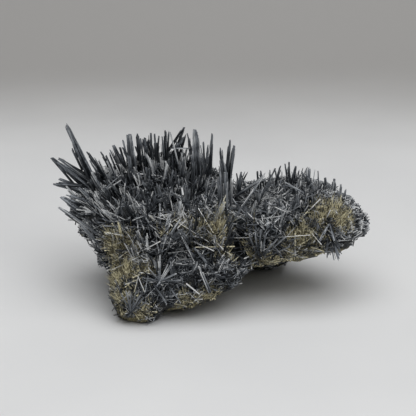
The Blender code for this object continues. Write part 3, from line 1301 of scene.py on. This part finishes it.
@dataclass
class MatrixBody:
    """The joined lumps under the crystals, and the crust that shows between them."""

    seed: int = 11
    voxel: float = 1.0
    coarse_relief: float = 1.3
    fine_relief: float = 0.7
    coarse_scale: float = 0.16
    fine_scale: float = 0.55
    fine_floor: float = 0.2
    under_slope: float = 1.3
    under_coat: float = 0.45
    under_change: float = 0.5
    under_scale: float = 0.12
    solid: Optional[bpy.types.Object] = field(default=None, init=False)

    def add_lump(self, bm: bmesh.types.BMesh, lump: Lump, rng: Random) -> None:
        """Add one rough ellipsoid.

        Args:
            bm: The mesh being built.
            lump: The lump.
            rng: The source of chance.
        """
        made = bmesh.ops.create_icosphere(bm, subdivisions=lump.detail, radius=1.0)
        for vert in made["verts"]:
            swell = 1.0 + rng.uniform(-lump.rough, lump.rough)
            vert.co = lump.skin(vert.co * swell) * MM

    def heap(self, name: str, lumps: Sequence[Lump], rng: Random) -> bpy.types.Object:
        """Make one object of several overlapping lumps.

        Args:
            name: The object's name.
            lumps: The lumps.
            rng: The source of chance.

        Returns:
            The object.
        """
        bm = bmesh.new()
        for lump in lumps:
            self.add_lump(bm, lump, rng)
        bmesh.ops.recalc_face_normals(bm, faces=bm.faces)
        mesh = bpy.data.meshes.new(name)
        bm.to_mesh(mesh)
        bm.free()
        return link(name, mesh)

    def build(self) -> BVHTree:
        """Join the lumps and cut the hollows.

        Returns:
            The skin that the crystals grow from, in millimetres.
        """
        rng = Random(self.seed)
        self.solid = self.heap("matrix_crust", LUMPS, rng)
        pits = self.heap("hollows", HOLLOWS, rng)
        modifier = self.solid.modifiers.new("join", "BOOLEAN")
        modifier.operation = "DIFFERENCE"
        modifier.solver = "EXACT"
        modifier.use_self = True
        modifier.object = pits
        result = evaluated_mesh(self.solid)
        self.solid.modifiers.remove(modifier)
        self.solid.data = result
        bpy.data.objects.remove(pits)
        corners = [vert.co / MM for vert in result.vertices]
        return BVHTree.FromPolygons(corners, [tuple(face.vertices) for face in result.polygons])

    def scatter(self, count: int) -> list[tuple[Vector, Vector]]:
        """Pick places evenly over the joined lumps, before the crust is laid.

        Args:
            count: How many.

        Returns:
            The places in millimetres, each with the outward normal there.
        """
        rng = Random(self.seed + 1)
        mesh = self.solid.data
        mesh.calc_loop_triangles()
        faces = mesh.loop_triangles
        places = []
        for face in rng.choices(faces, weights=[face.area for face in faces], k=count):
            first, second, third = (mesh.vertices[index].co for index in face.vertices)
            u, v = rng.random(), rng.random()
            if u + v > 1.0:
                u, v = 1.0 - u, 1.0 - v
            point = first + (second - first) * u + (third - first) * v
            places.append((point / MM, face.normal.copy()))
        return places

    def lay_crust(self, finish: bpy.types.Material) -> bpy.types.Object:
        """Turn the joined lumps into the rough crust.

        Args:
            finish: The crust's material.

        Returns:
            The finished piece.
        """
        remesh = self.solid.modifiers.new("even", "REMESH")
        remesh.mode = "VOXEL"
        remesh.voxel_size = self.voxel * MM
        mesh = evaluated_mesh(self.solid)
        self.solid.modifiers.remove(remesh)
        self.solid.data = mesh
        places = []
        for vert in mesh.vertices:
            point = vert.co / MM
            coarse = noise.fractal(point * self.coarse_scale, 1.0, 2.0, 3)
            fine = abs(noise.noise(point * self.fine_scale)) - self.fine_floor
            lift = coarse * self.coarse_relief - fine * self.fine_relief
            moved = point + vert.normal * lift
            moved.z = max(moved.z, 0.0)
            places.append(moved)
        coat = []
        for vert, point in zip(mesh.vertices, places):
            facing_down = min(1.0, max(0.0, -vert.normal.z * self.under_slope))
            change = noise.noise(point * self.under_scale) * self.under_change
            coat.append(max(ochre_at(point), facing_down * (self.under_coat + change)))
        for vert, place in zip(mesh.vertices, places):
            vert.co = (place + CENTRE_SHIFT) * MM
        mesh.attributes.new("coat", "FLOAT", "POINT").data.foreach_set("value", coat)
        mesh.materials.clear()
        mesh.materials.append(finish)
        mesh.update()
        dress(self.solid)
        return self.solid


# --- The crystals ---


@dataclass
class GrowthTree:
    """The geometry tree that turns points into prisms, three ways of ending to choose from.

    The shoulder is how far up a prism its middle ring stands, and taper the width it loses on the
    way. The grain attribute counts millimetres across a prism and grain_pitch to the metre along
    it. Each prism starts somewhere else in the grain, grain_step on from the one before it.
    """

    name: str
    sides: int
    rings: int
    shoulder: float = 0.93
    taper: float = 0.12
    columns: float = 64.0
    margin: float = 0.06
    grain_pitch: float = 60.0
    grain_step: float = 0.7331
    grain_span: float = 37.0
    scratch: str = "heading width flatness length roll ending cell local unwrap"
    tree: Optional[bpy.types.NodeTree] = field(default=None, init=False)

    def inputs(self) -> None:
        """Add the named inputs, and the one output."""
        for name, kind, value in (
            ("Points", "Geometry", None),
            ("Sides", "Int", self.sides),
            ("Rings", "Int", self.rings),
            ("Shoulder", "Float", self.shoulder),
            ("Taper", "Float", self.taper),
            ("Atlas Columns", "Float", self.columns),
            ("Cell Margin", "Float", self.margin),
            ("Finish", "Material", None),
        ):
            socket_type = f"NodeSocket{kind}"
            made = self.tree.interface.new_socket(name, in_out="INPUT", socket_type=socket_type)
            if value is not None:
                made.default_value = value
        self.tree.interface.new_socket("Needles", in_out="OUTPUT", socket_type="NodeSocketGeometry")

    def blade(self, graph: Graph, given: dict, shape: TipShape) -> Signal:
        """Shape one unit prism.

        Args:
            graph: The tree being written.
            given: The tree's inputs by name.
            shape: How it ends.

        Returns:
            The prism as one instance.
        """
        size = {"Radius": 0.5, "Depth": 1.0}
        inputs = {"Vertices": given["Sides"], "Side Segments": given["Rings"], **size}
        prism = graph.add("GeometryNodeMeshCylinder", {"fill_type": "NGON"}, inputs)
        unwrap = Signal(graph, prism.socket.node.outputs["UV Map"])
        prism = graph.store(prism, "unwrap", unwrap, "FLOAT2", "CORNER")
        x, y, z = graph.parts(graph.add("GeometryNodeInputPosition"))
        height = z + 0.5
        waist = 1.0 - (height * 2.0 - 1.0).size()
        top = height > 0.99
        lifted = height + waist * (given["Shoulder"] - 0.5) * (given["Rings"] - 1.0)
        slim = 1.0 - height * given["Taper"]
        new_x = x * slim * (1.0 - top * (1.0 - shape.width))
        new_y = y * slim * (1.0 - top * (1.0 - shape.thickness))
        new_z = lifted - top * shape.slant * (x + 0.5)
        place = graph.combine(new_x, new_y, new_z)
        prism = graph.add("GeometryNodeSetPosition", None, {"Geometry": prism, "Position": place})
        local = graph.add("GeometryNodeInputPosition")
        prism = graph.store(prism, "local", local, "FLOAT_VECTOR", "POINT")
        return graph.add("GeometryNodeGeometryToInstance", None, {0: prism})

    def shapes(self, graph: Graph, given: dict) -> Signal:
        """Join the prisms to choose from, one for each way of ending.

        Args:
            graph: The tree being written.
            given: The tree's inputs by name.

        Returns:
            The instances, in the order of the Tip values.
        """
        joined = self.tree.nodes.new("GeometryNodeJoinGeometry")
        for tip in reversed(Tip):
            made = self.blade(graph, given, TIP_SHAPES[tip])
            self.tree.links.new(made.socket, joined.inputs[0])
        return Signal(graph, joined.outputs[0])

    def placed(self, graph: Graph, given: dict, width: Signal, length: Signal) -> Signal:
        """Stand one prism on each point.

        Args:
            graph: The tree being written.
            given: The tree's inputs by name.
            width: The prism's width.
            length: Its length.

        Returns:
            The instances.
        """
        turn = {"Axis": tuple(UP), "Angle": graph.field("roll")}
        roll = graph.add("FunctionNodeAxisAngleToRotation", None, turn)
        heading = {"Vector": graph.field("heading", "FLOAT_VECTOR")}
        aim = graph.add("FunctionNodeAlignRotationToVector", {"axis": "Z"}, heading)
        turned = graph.add("FunctionNodeRotateRotation", {"rotation_space": "LOCAL"}, {0: aim, 1: roll})
        thin = width * graph.field("flatness")
        inputs = {
            "Points": given["Points"],
            "Instance": self.shapes(graph, given),
            "Pick Instance": True,
            "Instance Index": graph.field("ending", "INT"),
            "Rotation": turned,
            "Scale": graph.combine(width, thin, length),
        }
        return graph.add("GeometryNodeInstanceOnPoints", None, inputs)

    def atlas(self, graph: Graph, given: dict, cell: Signal) -> Signal:
        """Work out each corner's place in the map, one square cell to a prism.

        Args:
            graph: The tree being written.
            given: The tree's inputs by name.
            cell: The prism's number.

        Returns:
            The place.
        """
        columns, margin = given["Atlas Columns"], given["Cell Margin"]
        inner = 1.0 - margin * 2.0
        local_u, local_v, _ = graph.parts(graph.field("unwrap", "FLOAT_VECTOR"))
        across = (cell.modulo(columns) + margin + local_u * inner) / columns
        upward = ((cell / columns).floor() + margin + local_v * inner) / columns
        return graph.combine(across, upward, 0.0)

    def build(self) -> bpy.types.NodeTree:
        """Write the tree.

        Returns:
            The tree, ready for a modifier.
        """
        self.tree = bpy.data.node_groups.new(self.name, "GeometryNodeTree")
        self.inputs()
        graph = Graph(self.tree)
        entry = self.tree.nodes.new("NodeGroupInput")
        given = {out.name: Signal(graph, out) for out in entry.outputs if out.name}
        width, length, cell = (graph.field(name) for name in ("width", "length", "cell"))
        instances = self.placed(graph, given, width, length)
        grown = graph.add("GeometryNodeRealizeInstances", None, {0: instances})
        flat = {"Geometry": grown, "Shade Smooth": False}
        grown = graph.add("GeometryNodeSetShadeSmooth", None, flat)
        grown = graph.store(grown, "OFBake", self.atlas(graph, given, cell), "FLOAT2", "CORNER")
        local_x, local_y, along = graph.parts(graph.field("local", "FLOAT_VECTOR"))
        offset = (cell * self.grain_step).modulo(self.grain_span)
        grain_x = local_x * width * MM_PER_METRE + offset
        grain_y = local_y * width * MM_PER_METRE
        grain = graph.combine(grain_x, grain_y, along * length * self.grain_pitch)
        grown = graph.store(grown, "grain", grain, "FLOAT_VECTOR", "POINT")
        grown = graph.store(grown, "along", along, "FLOAT", "POINT")
        for name in self.scratch.split():
            grown = graph.add("GeometryNodeRemoveAttribute", None, {"Geometry": grown, "Name": name})
        painted = {"Geometry": grown, "Material": given["Finish"]}
        grown = graph.add("GeometryNodeSetMaterial", None, painted)
        leave = self.tree.nodes.new("NodeGroupOutput")
        self.tree.links.new(grown.socket, leave.inputs[0])
        return self.tree


@dataclass
class NeedleBed:
    """A bed of prisms that is grown as one piece."""

    name: str
    growth: GrowthTree
    needles: list = field(default_factory=list)

    def points(self) -> bpy.types.Object:
        """Lay the roots out as points that carry each prism's numbers.

        Returns:
            The object holding the points.
        """
        count = len(self.needles)
        mesh = bpy.data.meshes.new(self.name)
        mesh.vertices.add(count)
        roots = np.array([needle.root + CENTRE_SHIFT for needle in self.needles]) * MM
        mesh.vertices.foreach_set("co", roots.ravel())
        headings = np.array([needle.heading for needle in self.needles]).ravel()
        mesh.attributes.new("heading", "FLOAT_VECTOR", "POINT").data.foreach_set("vector", headings)
        units = {"length": MM, "width": MM, "flatness": 1.0, "roll": 1.0, "tone": 1.0, "coat": 1.0}
        for name, unit in units.items():
            values = [getattr(needle, name) * unit for needle in self.needles]
            mesh.attributes.new(name, "FLOAT", "POINT").data.foreach_set("value", values)
        cells = [float(index) for index in range(count)]
        mesh.attributes.new("cell", "FLOAT", "POINT").data.foreach_set("value", cells)
        endings = [needle.tip.value for needle in self.needles]
        mesh.attributes.new("ending", "INT", "POINT").data.foreach_set("value", endings)
        return link(self.name, mesh)

    def grow(self, finish: bpy.types.Material) -> bpy.types.Object:
        """Grow the prisms into one plain mesh.

        Args:
            finish: The material of the blades.

        Returns:
            The finished piece.
        """
        piece = self.points()
        modifier = piece.modifiers.new("growth", "NODES")
        modifier.node_group = self.growth.tree or self.growth.build()
        by_name = {item.name: item.identifier for item in modifier.node_group.interface.items_tree}
        modifier[by_name["Atlas Columns"]] = float(math.ceil(math.sqrt(len(self.needles))))
        modifier[by_name["Finish"]] = finish
        mesh = evaluated_mesh(piece)
        piece.modifiers.remove(modifier)
        piece.data = mesh
        self.make_map(mesh)
        dress(piece)
        return piece

    def make_map(self, mesh: bpy.types.Mesh) -> None:
        """Make the stored atlas places the piece's active map, where the mesh has them."""
        if "OFBake" in mesh.uv_layers:
            mesh.uv_layers["OFBake"].active = True


@dataclass
class CrystalGrowth:
    """Where every blade and needle of the spray stands."""

    skin: BVHTree
    blade_seed: int = 29
    needle_seed: int = 71
    root_depth: float = 6.0
    long_root_depth: float = 8.0
    sink: float = 0.8
    lowest_root: float = 8.0
    lowest_slope: float = 0.12
    blade_overhang: float = -0.35
    blade_flatness: tuple = (0.55, 0.85)
    fan_depth: float = 2.0
    fan_set_back: float = 3.0
    fan_roll: float = 0.4
    long_flatness: float = 0.7
    long_roll: float = 0.3
    dark_bias: float = 1.6
    fans_on_left: int = 2900
    fans_on_right: int = 1900
    felted_below: float = 28.0
    facing_back: float = -0.1
    bare_edge_left: float = 14.0
    bare_edge_right: float = 34.0
    unraised_left_of: float = -45.0
    front_lift: Vector = field(default_factory=lambda: Vector((0.0, -1.8, 0.6)))
    skyline_lean: float = 1.0
    fan_jitter: float = 2.0
    lowest_fan: float = 2.0
    fan_overhang: float = -0.65
    low_overhang: float = -0.75
    seen_before: float = 10.0
    lowest_end: float = 1.0
    most_inward: float = -0.05
    most_downward: float = -0.75
    clear_gap: float = 1.0
    splitting: Splitting = field(default_factory=Splitting)
    fanning: Fanning = field(default_factory=Fanning)
    stubbing: Stubbing = field(default_factory=Stubbing)
    companionship: Companionship = field(default_factory=Companionship)

    def shade(self, tone: tuple, rng: Random) -> float:
        """Draw a tone, more often a dark one."""
        return tone[0] + (tone[1] - tone[0]) * rng.random() ** self.dark_bias

    def nearest_zone(self, point: Vector) -> Zone:
        """Find the zone whose manner of growth holds at a point."""
        return min(ZONES, key=lambda item: (item.place - point).length)

    def blades(self) -> list[Crystal]:
        """Repeat the solid's own blades, drawn in the same order from the same seed.

        Returns:
            The blades.
        """
        rng = Random(self.blade_seed)
        crystals = []
        for lobe in LOBES:
            crystals += self.lobe_blades(lobe, rng)
        for fan in FANS:
            for _ in range(fan.count):
                heading = tilt(fan.heading.normalized(), fan.spread, rng)
                foot = fan.root - heading * self.fan_depth + Vector((0.0, self.fan_set_back, 0.0))
                tip = fan.root + heading * rng.uniform(*fan.length)
                half_width = rng.uniform(*fan.width) / 2.0
                flatness = rng.uniform(*self.blade_flatness)
                crystals.append(Crystal(foot, tip, half_width, flatness, self.fan_roll))
        for foot, tip, width in LONG_CRYSTALS:
            low = foot - (tip - foot).normalized() * self.long_root_depth
            half_width = width / 2.0
            crystals.append(Crystal(low, tip, half_width, self.long_flatness, self.long_roll, True))
        return crystals

    def lobe_blades(self, lobe: Lobe, rng: Random) -> list[Crystal]:
        """Root blades evenly over a lobe.

        Args:
            lobe: The lobe.
            rng: The source of chance.

        Returns:
            The blades.
        """
        crystals = []
        for outward in spiral(lobe.count):
            root, normal, _, _ = self.skin.ray_cast(lobe.centre + outward * FAR_OUT, -outward)
            if root is None or root.z < self.lowest_root or normal.z < self.blade_overhang:
                continue
            if not lobe.left <= root.x < lobe.right:
                continue
            zone = self.nearest_zone(root)
            heading = tilt((root - zone.focus).normalized(), zone.spread, rng)
            heading.z = max(heading.z, self.lowest_slope)
            heading.normalize()
            root -= normal * self.sink
            tip = root + heading * rng.uniform(*zone.length)
            half_width = rng.uniform(*zone.width) / 2.0
            flatness = rng.uniform(*self.blade_flatness)
            roll = rng.uniform(0.0, math.pi)
            rng.random()  # The solid draws whether the blade is pointed here.
            foot = root - heading * self.root_depth
            crystals.append(Crystal(foot, tip, half_width, flatness, roll))
        return crystals

    def composite(self, crystal: Crystal, rng: Random) -> list[Needle]:
        """Build one blade of a main prism and thinner ones grown against it.

        Args:
            crystal: The solid's blade.
            rng: The source of chance.

        Returns:
            The prisms of the blade.
        """
        split = self.splitting
        axis = crystal.tip - crystal.foot
        heading, length = axis.normalized(), axis.length
        root = crystal.foot + heading * self.root_depth
        habit = LONE if crystal.lone else self.nearest_zone(root).habit
        coat = ochre_at(root) * split.coat
        # Painted shade: blades that point downward get a darker tone.
        tone = self.shade(habit.tone, rng) * (split.hanging_shade if heading.z < 0.0 else 1.0)
        width = crystal.half_width * 2.0
        measures = (length, width * habit.core, crystal.flatness, crystal.roll, rng.choice(ANY_TIP))
        made = [Needle(crystal.foot, heading, *measures, tone * split.core_tone, coat)]
        for _ in range(min(habit.splinters, max(split.fewest, int(width * split.per_width)))):
            outward = sideways(heading, rng)
            reach = length * rng.uniform(*split.reaches)
            start = crystal.foot + outward * width * rng.uniform(*split.offsets)
            splinter = Needle(
                start,
                tilt(heading, habit.splay, rng),
                reach,
                max(split.thinnest, width * rng.uniform(*split.widths)),
                rng.uniform(*split.flatnesses),
                rng.uniform(0.0, math.pi),
                rng.choice(MOSTLY_CHISEL),
                tone * rng.uniform(*split.tones) * min(1.0, 1.0 / width ** 0.5),
                coat * rng.uniform(*split.coats),
            )
            made.append(splinter)
        return made

    def laid_across(
        self, root: Vector, normal: Vector, habit: Habit, rng: Random
    ) -> tuple[Vector, Vector, float]:
        """Lay one needle across its neighbours.

        Args:
            root: The fan's root.
            normal: The skin's outward normal there.
            habit: The manner of growth.
            rng: The source of chance.

        Returns:
            Where it starts, its heading, and its height over the skin as a share of the limit.
        """
        heading = sideways(normal, rng)
        lift = math.radians(rng.uniform(*self.fanning.lifts))
        heading = heading * math.cos(lift) + normal * math.sin(lift)
        height = rng.uniform(*self.fanning.heights)
        back = heading * habit.length[1] * self.fanning.set_back
        return root + normal * height * habit.stand - back, heading, height

    def fan(self, root: Vector, normal: Vector, zone: Zone, rng: Random) -> list[Needle]:
        """Grow one fan of needles out of the skin.

        Args:
            root: Where it stands.
            normal: The skin's outward normal there.
            zone: The manner of growth.
            rng: The source of chance.

        Returns:
            The needles.
        """
        vary = self.fanning
        habit = FELTED if self.unseen(root, normal) and root.z < self.felted_below else zone.habit
        outward = (root - zone.focus).normalized()
        middle = outward + normal * vary.normal_pull + UP * habit.rise
        axis = tilt(middle.normalized(), zone.spread * vary.spread_share, rng)
        shade = self.shade(habit.tone, rng)
        coat = ochre_at(root) * vary.coat
        size = rng.uniform(*vary.sizes) * (1.0 - vary.size_lost_to_coat * coat)
        made = []
        for _ in range(habit.count):
            heading = tilt(axis, habit.cone, rng)
            aside = heading.orthogonal() * rng.uniform(-vary.scatter, vary.scatter)
            start = root - normal * vary.depth + aside
            length = rng.uniform(*habit.length) * size + vary.depth
            width = rng.uniform(*habit.width) * (1.0 + vary.width_gained_by_coat * coat)
            # Painted shade: a needle laid across its neighbours gets a darker tone the lower it lies, a
            # lighter one higher up.
            light = 1.0
            if rng.random() < habit.crossing:
                start, heading, height = self.laid_across(root, normal, habit, rng)
                length *= vary.crossing_length
                width *= vary.crossing_width
                light = vary.lowest_painted_light + height * vary.painted_light_by_height
            needle = Needle(
                start,
                heading,
                length,
                width,
                rng.uniform(*vary.flatnesses),
                rng.uniform(0.0, math.pi),
                rng.choice(ANY_TIP),
                shade * light * rng.uniform(*vary.tones),
                coat * rng.uniform(*vary.coats),
            )
            self.trim(needle, habit)
            if self.in_place(needle, normal):
                made.append(needle)
        return made

    def unseen(self, root: Vector, normal: Vector) -> bool:
        """Tell whether a place faces the back or lies behind the middle."""
        return root.y > 0.0 or normal.y > self.facing_back

    def trim(self, needle: Needle, habit: Habit) -> None:
        """Shorten a needle whose tip stands too far off the skin.

        Args:
            needle: The needle.
            habit: The manner of growth that sets the limit.
        """
        _, _, _, gap = self.skin.find_nearest(needle.end())
        if gap > habit.stand:
            needle.length *= max(self.fanning.shortest_share, habit.stand / gap)

    def lower_edge(self, point: Vector) -> float:
        """Find the height of the piece's lower edge near a point."""
        return self.bare_edge_left if point.x < LOBES[0].right else self.bare_edge_right

    def juts_out(self, tip: Vector) -> bool:
        """Tell whether a low tip stands clear of the piece, as it is seen from the front."""
        seen, _, _, _ = self.skin.ray_cast(VIEW.eye(), (tip - VIEW.eye()).normalized())
        return seen is None and tip.z < self.lower_edge(tip)

    def hangs(self, point: Vector) -> bool:
        """Tell whether a point stands clear below the piece's lower edge.

        Args:
            point: An end of a needle.

        Returns:
            True where only air or the underside is above it, or nothing is behind it.
        """
        if point.z > self.lower_edge(point):
            return False
        over, normal, _, gap = self.skin.ray_cast(point, UP)
        if over is not None and normal.z < 0.0 and gap > self.clear_gap:
            return True
        inward = Vector((0.0, math.copysign(1.0, -point.y), 0.0))
        behind, _, _, _ = self.skin.ray_cast(point, inward)
        return behind is None

    def in_place(self, needle: Needle, normal: Vector) -> bool:
        """Tell whether a needle may stay: off the floor, out of the flesh, not hanging down.

        Args:
            needle: The needle.
            normal: The skin's outward normal at its root.

        Returns:
            True if it may.
        """
        root, heading, tip = needle.root, needle.heading, needle.end()
        if min(tip.z, root.z) < self.lowest_end or heading.z < self.most_downward:
            return False
        if heading.dot(normal) < self.most_inward or self.juts_out(tip):
            return False
        seen = normal.y < self.facing_back and root.y < self.seen_before
        return not (seen and (self.hangs(tip) or self.hangs(root)))

    def in_pocket(self, point: Vector) -> bool:
        """Tell whether a place lies in one of the dark pockets."""
        return any((point - centre).length < reach for centre, reach in POCKETS)

    def fans(self, low_places: list[tuple[Vector, Vector]]) -> dict[Region, list[Needle]]:
        """Cover the whole skin with fans.

        Args:
            low_places: Places on the skin with their normals, to reach the sides of the rear feet.

        Returns:
            The needles by region.
        """
        rng = Random(self.needle_seed)
        beds = {region: [] for region in Region}
        for lobe, count in zip(LOBES, (self.fans_on_left, self.fans_on_right)):
            for outward in spiral(count):
                start = lobe.centre + tilt(outward, self.fan_jitter, rng) * FAR_OUT
                root, normal, _, _ = self.skin.ray_cast(start, -outward)
                if root is None or not lobe.left <= root.x < lobe.right or root.z < self.lowest_fan:
                    continue
                zone = self.nearest_zone(root)
                if normal.z < self.fan_overhang or self.in_pocket(root):
                    continue
                if rng.random() <= zone.habit.density:
                    beds[zone.region] += self.fan(root, normal, zone, rng)
        for root, normal in low_places:
            low = self.lowest_fan < root.z < self.felted_below and normal.z > self.low_overhang
            if low and self.unseen(root, normal):
                zone = self.nearest_zone(root)
                beds[zone.region] += self.fan(root, normal, zone, rng)
        return beds

    def coated_stubs(self) -> list[Needle]:
        """Crowd the ochre patches with short coated needles and crumbs.

        Returns:
            The needles.
        """
        rng = Random(self.needle_seed + 3)
        stubs = self.stubbing
        made = []
        for patch in OCHRE_PATCHES:
            for _ in range(int(patch.reach ** 2 * patch.strength * stubs.per_area)):
                reach = patch.reach * stubs.reach * math.sqrt(rng.random())
                around = Vector((rng.gauss(0, 1), rng.gauss(0, 1), rng.gauss(0, 1))).normalized()
                root, normal, _, _ = self.skin.find_nearest(patch.centre + around * reach)
                if root.z < stubs.lowest or ochre_at(root) < stubs.least_coat:
                    continue
                kind = CRUMB if rng.random() < stubs.crumb_share else STUB
                axis = (normal * stubs.normal_pull + UP).normalized()
                heading = tilt(axis, kind.lean, rng)
                measures = (rng.uniform(*kind.length), rng.uniform(*kind.width), stubs.flatness)
                start = root + normal * rng.uniform(stubs.deepest, kind.highest)
                tone = rng.uniform(*stubs.tones)
                roll = rng.uniform(0.0, ROLL_LIMIT)
                made.append(Needle(start, heading, *measures, roll, Tip.POINTED, tone, 1.0))
        return made

    def strokes(self) -> Iterable[tuple[Vector, Vector, float, float]]:
        """Work out the needles that catch the eye from where they are seen.

        Yields:
            Each needle's foot, tip, width and tone.
        """
        for mark in FRONT_STROKES:
            low, high = VIEW.laid_on(self.skin, mark)
            raised = self.front_lift if low.x > self.unraised_left_of else Vector()
            yield low + raised, high + raised, mark.width, mark.tone
        for mark in SKYLINE_STROKES:
            low = VIEW.at_depth(mark.foot, mark.reach - self.skyline_lean)
            yield low, VIEW.at_depth(mark.tip, mark.reach), mark.width, mark.tone

    def front(self) -> list[Needle]:
        """Place the needles that catch the eye, each with slimmer ones beside it.

        Returns:
            The needles.
        """
        rng = Random(self.needle_seed + 2)
        beside = self.companionship
        made = []
        for low, high, width, tone in self.strokes():
            heading = (high - low).normalized()
            low = low - heading * beside.depth
            length = (high - low).length
            coat = ochre_at((low + high) / 2.0) * beside.coat
            fine = width < beside.fine_width
            core = width if fine else width * beside.core
            roll = rng.uniform(0.0, ROLL_LIMIT)
            measures = (length, core, beside.core_flatness, roll)
            made.append(Needle(low, heading, *measures, Tip.BROKEN, tone, coat))
            for _ in range(1 if fine else int(beside.fewest + width * beside.per_width)):
                outward = sideways(heading, rng)
                start = low + outward * width * rng.uniform(*beside.offsets)
                leaning = tilt(heading, beside.lean, rng)
                reach = length * rng.uniform(*beside.reaches)
                slim = max(beside.thinnest, width * rng.uniform(*beside.widths))
                shade = tone * rng.uniform(*beside.tones)
                roll = rng.uniform(0.0, ROLL_LIMIT)
                measures = (reach, slim, beside.flatness, roll)
                made.append(Needle(start, leaning, *measures, Tip.CHISEL, shade, coat))
        return made


# --- The room ---


class Lamp(NamedTuple):
    """A soft square lamp: its place, what it points at, its side in metres and its watts."""

    name: str
    place: Vector
    aim: Vector
    side: float
    power: float

    def hang(self) -> None:
        """Hang it in the scene."""
        data = bpy.data.lights.new(self.name, "AREA")
        data.shape = "SQUARE"
        data.size = self.side
        data.energy = self.power
        lamp = bpy.data.objects.new(self.name, data)
        lamp.location = self.place
        lamp.rotation_euler = (self.aim - self.place).to_track_quat("-Z", "Y").to_euler()
        bpy.context.scene.collection.objects.link(lamp)


LAMPS = rows(
    Lamp,
    ("overhead", (0.05, -0.30, 1.15), (0.0, 0.0, 0.0), 1.5, 15.0),
    ("front_fill", (0.45, -1.0, 1.0), (0.0, 0.0, 0.03), 0.8, 4.0),
)


@dataclass
class Studio:
    """The pale sheet, the soft light and the camera; lengths in metres, the sensor in millimetres."""

    front_edge: float = -1.2
    bend_start: float = 0.42
    bend_radius: float = 0.40
    bend_steps: int = 24
    height: float = 1.6
    half_width: float = 1.6
    glow: float = 0.12
    backdrop: float = 0.55
    sky: tuple = rgba(0.96, 0.98, 1.0)
    sensor: float = 36.0

    def sheet(self) -> bpy.types.Object:
        """Lay the floor and bend it up behind.

        Returns:
            The sheet.
        """
        profile = [(self.front_edge, 0.0), (0.0, 0.0), (self.bend_start, 0.0)]
        for step in range(1, self.bend_steps + 1):
            turn = math.radians(90.0 * step / self.bend_steps)
            reach = self.bend_start + self.bend_radius * math.sin(turn)
            profile.append((reach, self.bend_radius * (1.0 - math.cos(turn))))
        profile.append((self.bend_start + self.bend_radius, self.height))
        bm = bmesh.new()
        edges = []
        for y, z in profile:
            edges.append([bm.verts.new((x, y, z)) for x in (-self.half_width, self.half_width)])
        for low, high in zip(edges, edges[1:]):
            bm.faces.new((low[0], low[1], high[1], high[0])).smooth = True
        mesh = bpy.data.meshes.new("pale_sheet")
        bm.to_mesh(mesh)
        bm.free()
        sheet = link("pale_sheet", mesh)
        mesh.materials.append(FloorFinish().material())
        return sheet

    def light(self) -> None:
        """Hang the lamps and set the room's own glow."""
        for lamp in LAMPS:
            lamp.hang()
        world = bpy.data.worlds.new("room_glow")
        bpy.context.scene.world = world
        world.use_nodes = True
        graph = Graph(world.node_tree)
        seen = graph.add("ShaderNodeLightPath", output="Is Camera Ray")
        strength = seen * (self.backdrop - self.glow) + self.glow
        glow = graph.add("ShaderNodeBackground", None, {"Color": self.sky, "Strength": strength})
        graph.add("ShaderNodeOutputWorld", None, {"Surface": glow})

    def camera(self) -> None:
        """Stand the camera in front of the piece, a little above it."""
        data = bpy.data.cameras.new("camera")
        data.sensor_width = self.sensor
        data.lens = data.sensor_width * VIEW.distance / VIEW.width
        camera = bpy.data.objects.new("camera", data)
        camera.location = (VIEW.eye() + CENTRE_SHIFT) * MM
        camera.rotation_euler = (-VIEW.backward()).to_track_quat("-Z", "Y").to_euler()
        bpy.context.scene.collection.objects.link(camera)
        bpy.context.scene.camera = camera


@dataclass
class StibniteSpray:
    """The whole piece: matrix, composite blades and fans of needles."""

    blade_finish: BladeFinish = field(default_factory=BladeFinish)
    crust_finish: CrustFinish = field(default_factory=CrustFinish)
    low_places: int = 3000

    def build(self) -> list[bpy.types.Object]:
        """Build every piece in order.

        Returns:
            The finished pieces.
        """
        blade = self.blade_finish.material()
        crust = self.crust_finish.material()
        matrix = MatrixBody()
        skin = matrix.build()
        growth = CrystalGrowth(skin)
        low_places = matrix.scatter(self.low_places)
        pieces = [matrix.lay_crust(crust)]
        rng = Random(growth.needle_seed + 1)
        coarse = GrowthTree("blade_growth", sides=6, rings=2)
        fine = GrowthTree("needle_growth", sides=4, rings=1)
        blades = NeedleBed("composite_blades", coarse)
        for crystal in growth.blades():
            blades.needles += growth.composite(crystal, rng)
        blades.needles += growth.front()
        pieces.append(blades.grow(blade))
        pieces.append(NeedleBed("ochre_stubs", fine, growth.coated_stubs()).grow(blade))
        for region, needles in growth.fans(low_places).items():
            bed = NeedleBed(f"{region.value}_needles", fine, needles)
            pieces.append(bed.grow(blade))
        return pieces


def report(pieces: Sequence[bpy.types.Object]) -> None:
    """Log each piece's size in triangles.

    Args:
        pieces: The finished pieces.
    """
    total = 0
    for piece in pieces:
        piece.data.calc_loop_triangles()
        count = len(piece.data.loop_triangles)
        total += count
        LOG.info("%s: %d triangles", piece.name, count)
    LOG.info("all pieces: %d triangles", total)


def main() -> None:
    """Build the room and the piece, then log each piece's size in triangles."""
    logging.basicConfig(level=logging.INFO, format="%(name)s %(message)s")
    bpy.context.scene.view_settings.view_transform = "Standard"
    studio = Studio()
    studio.camera()
    studio.sheet()
    studio.light()
    report(StibniteSpray().build())


if __name__ == "__main__":
    main()
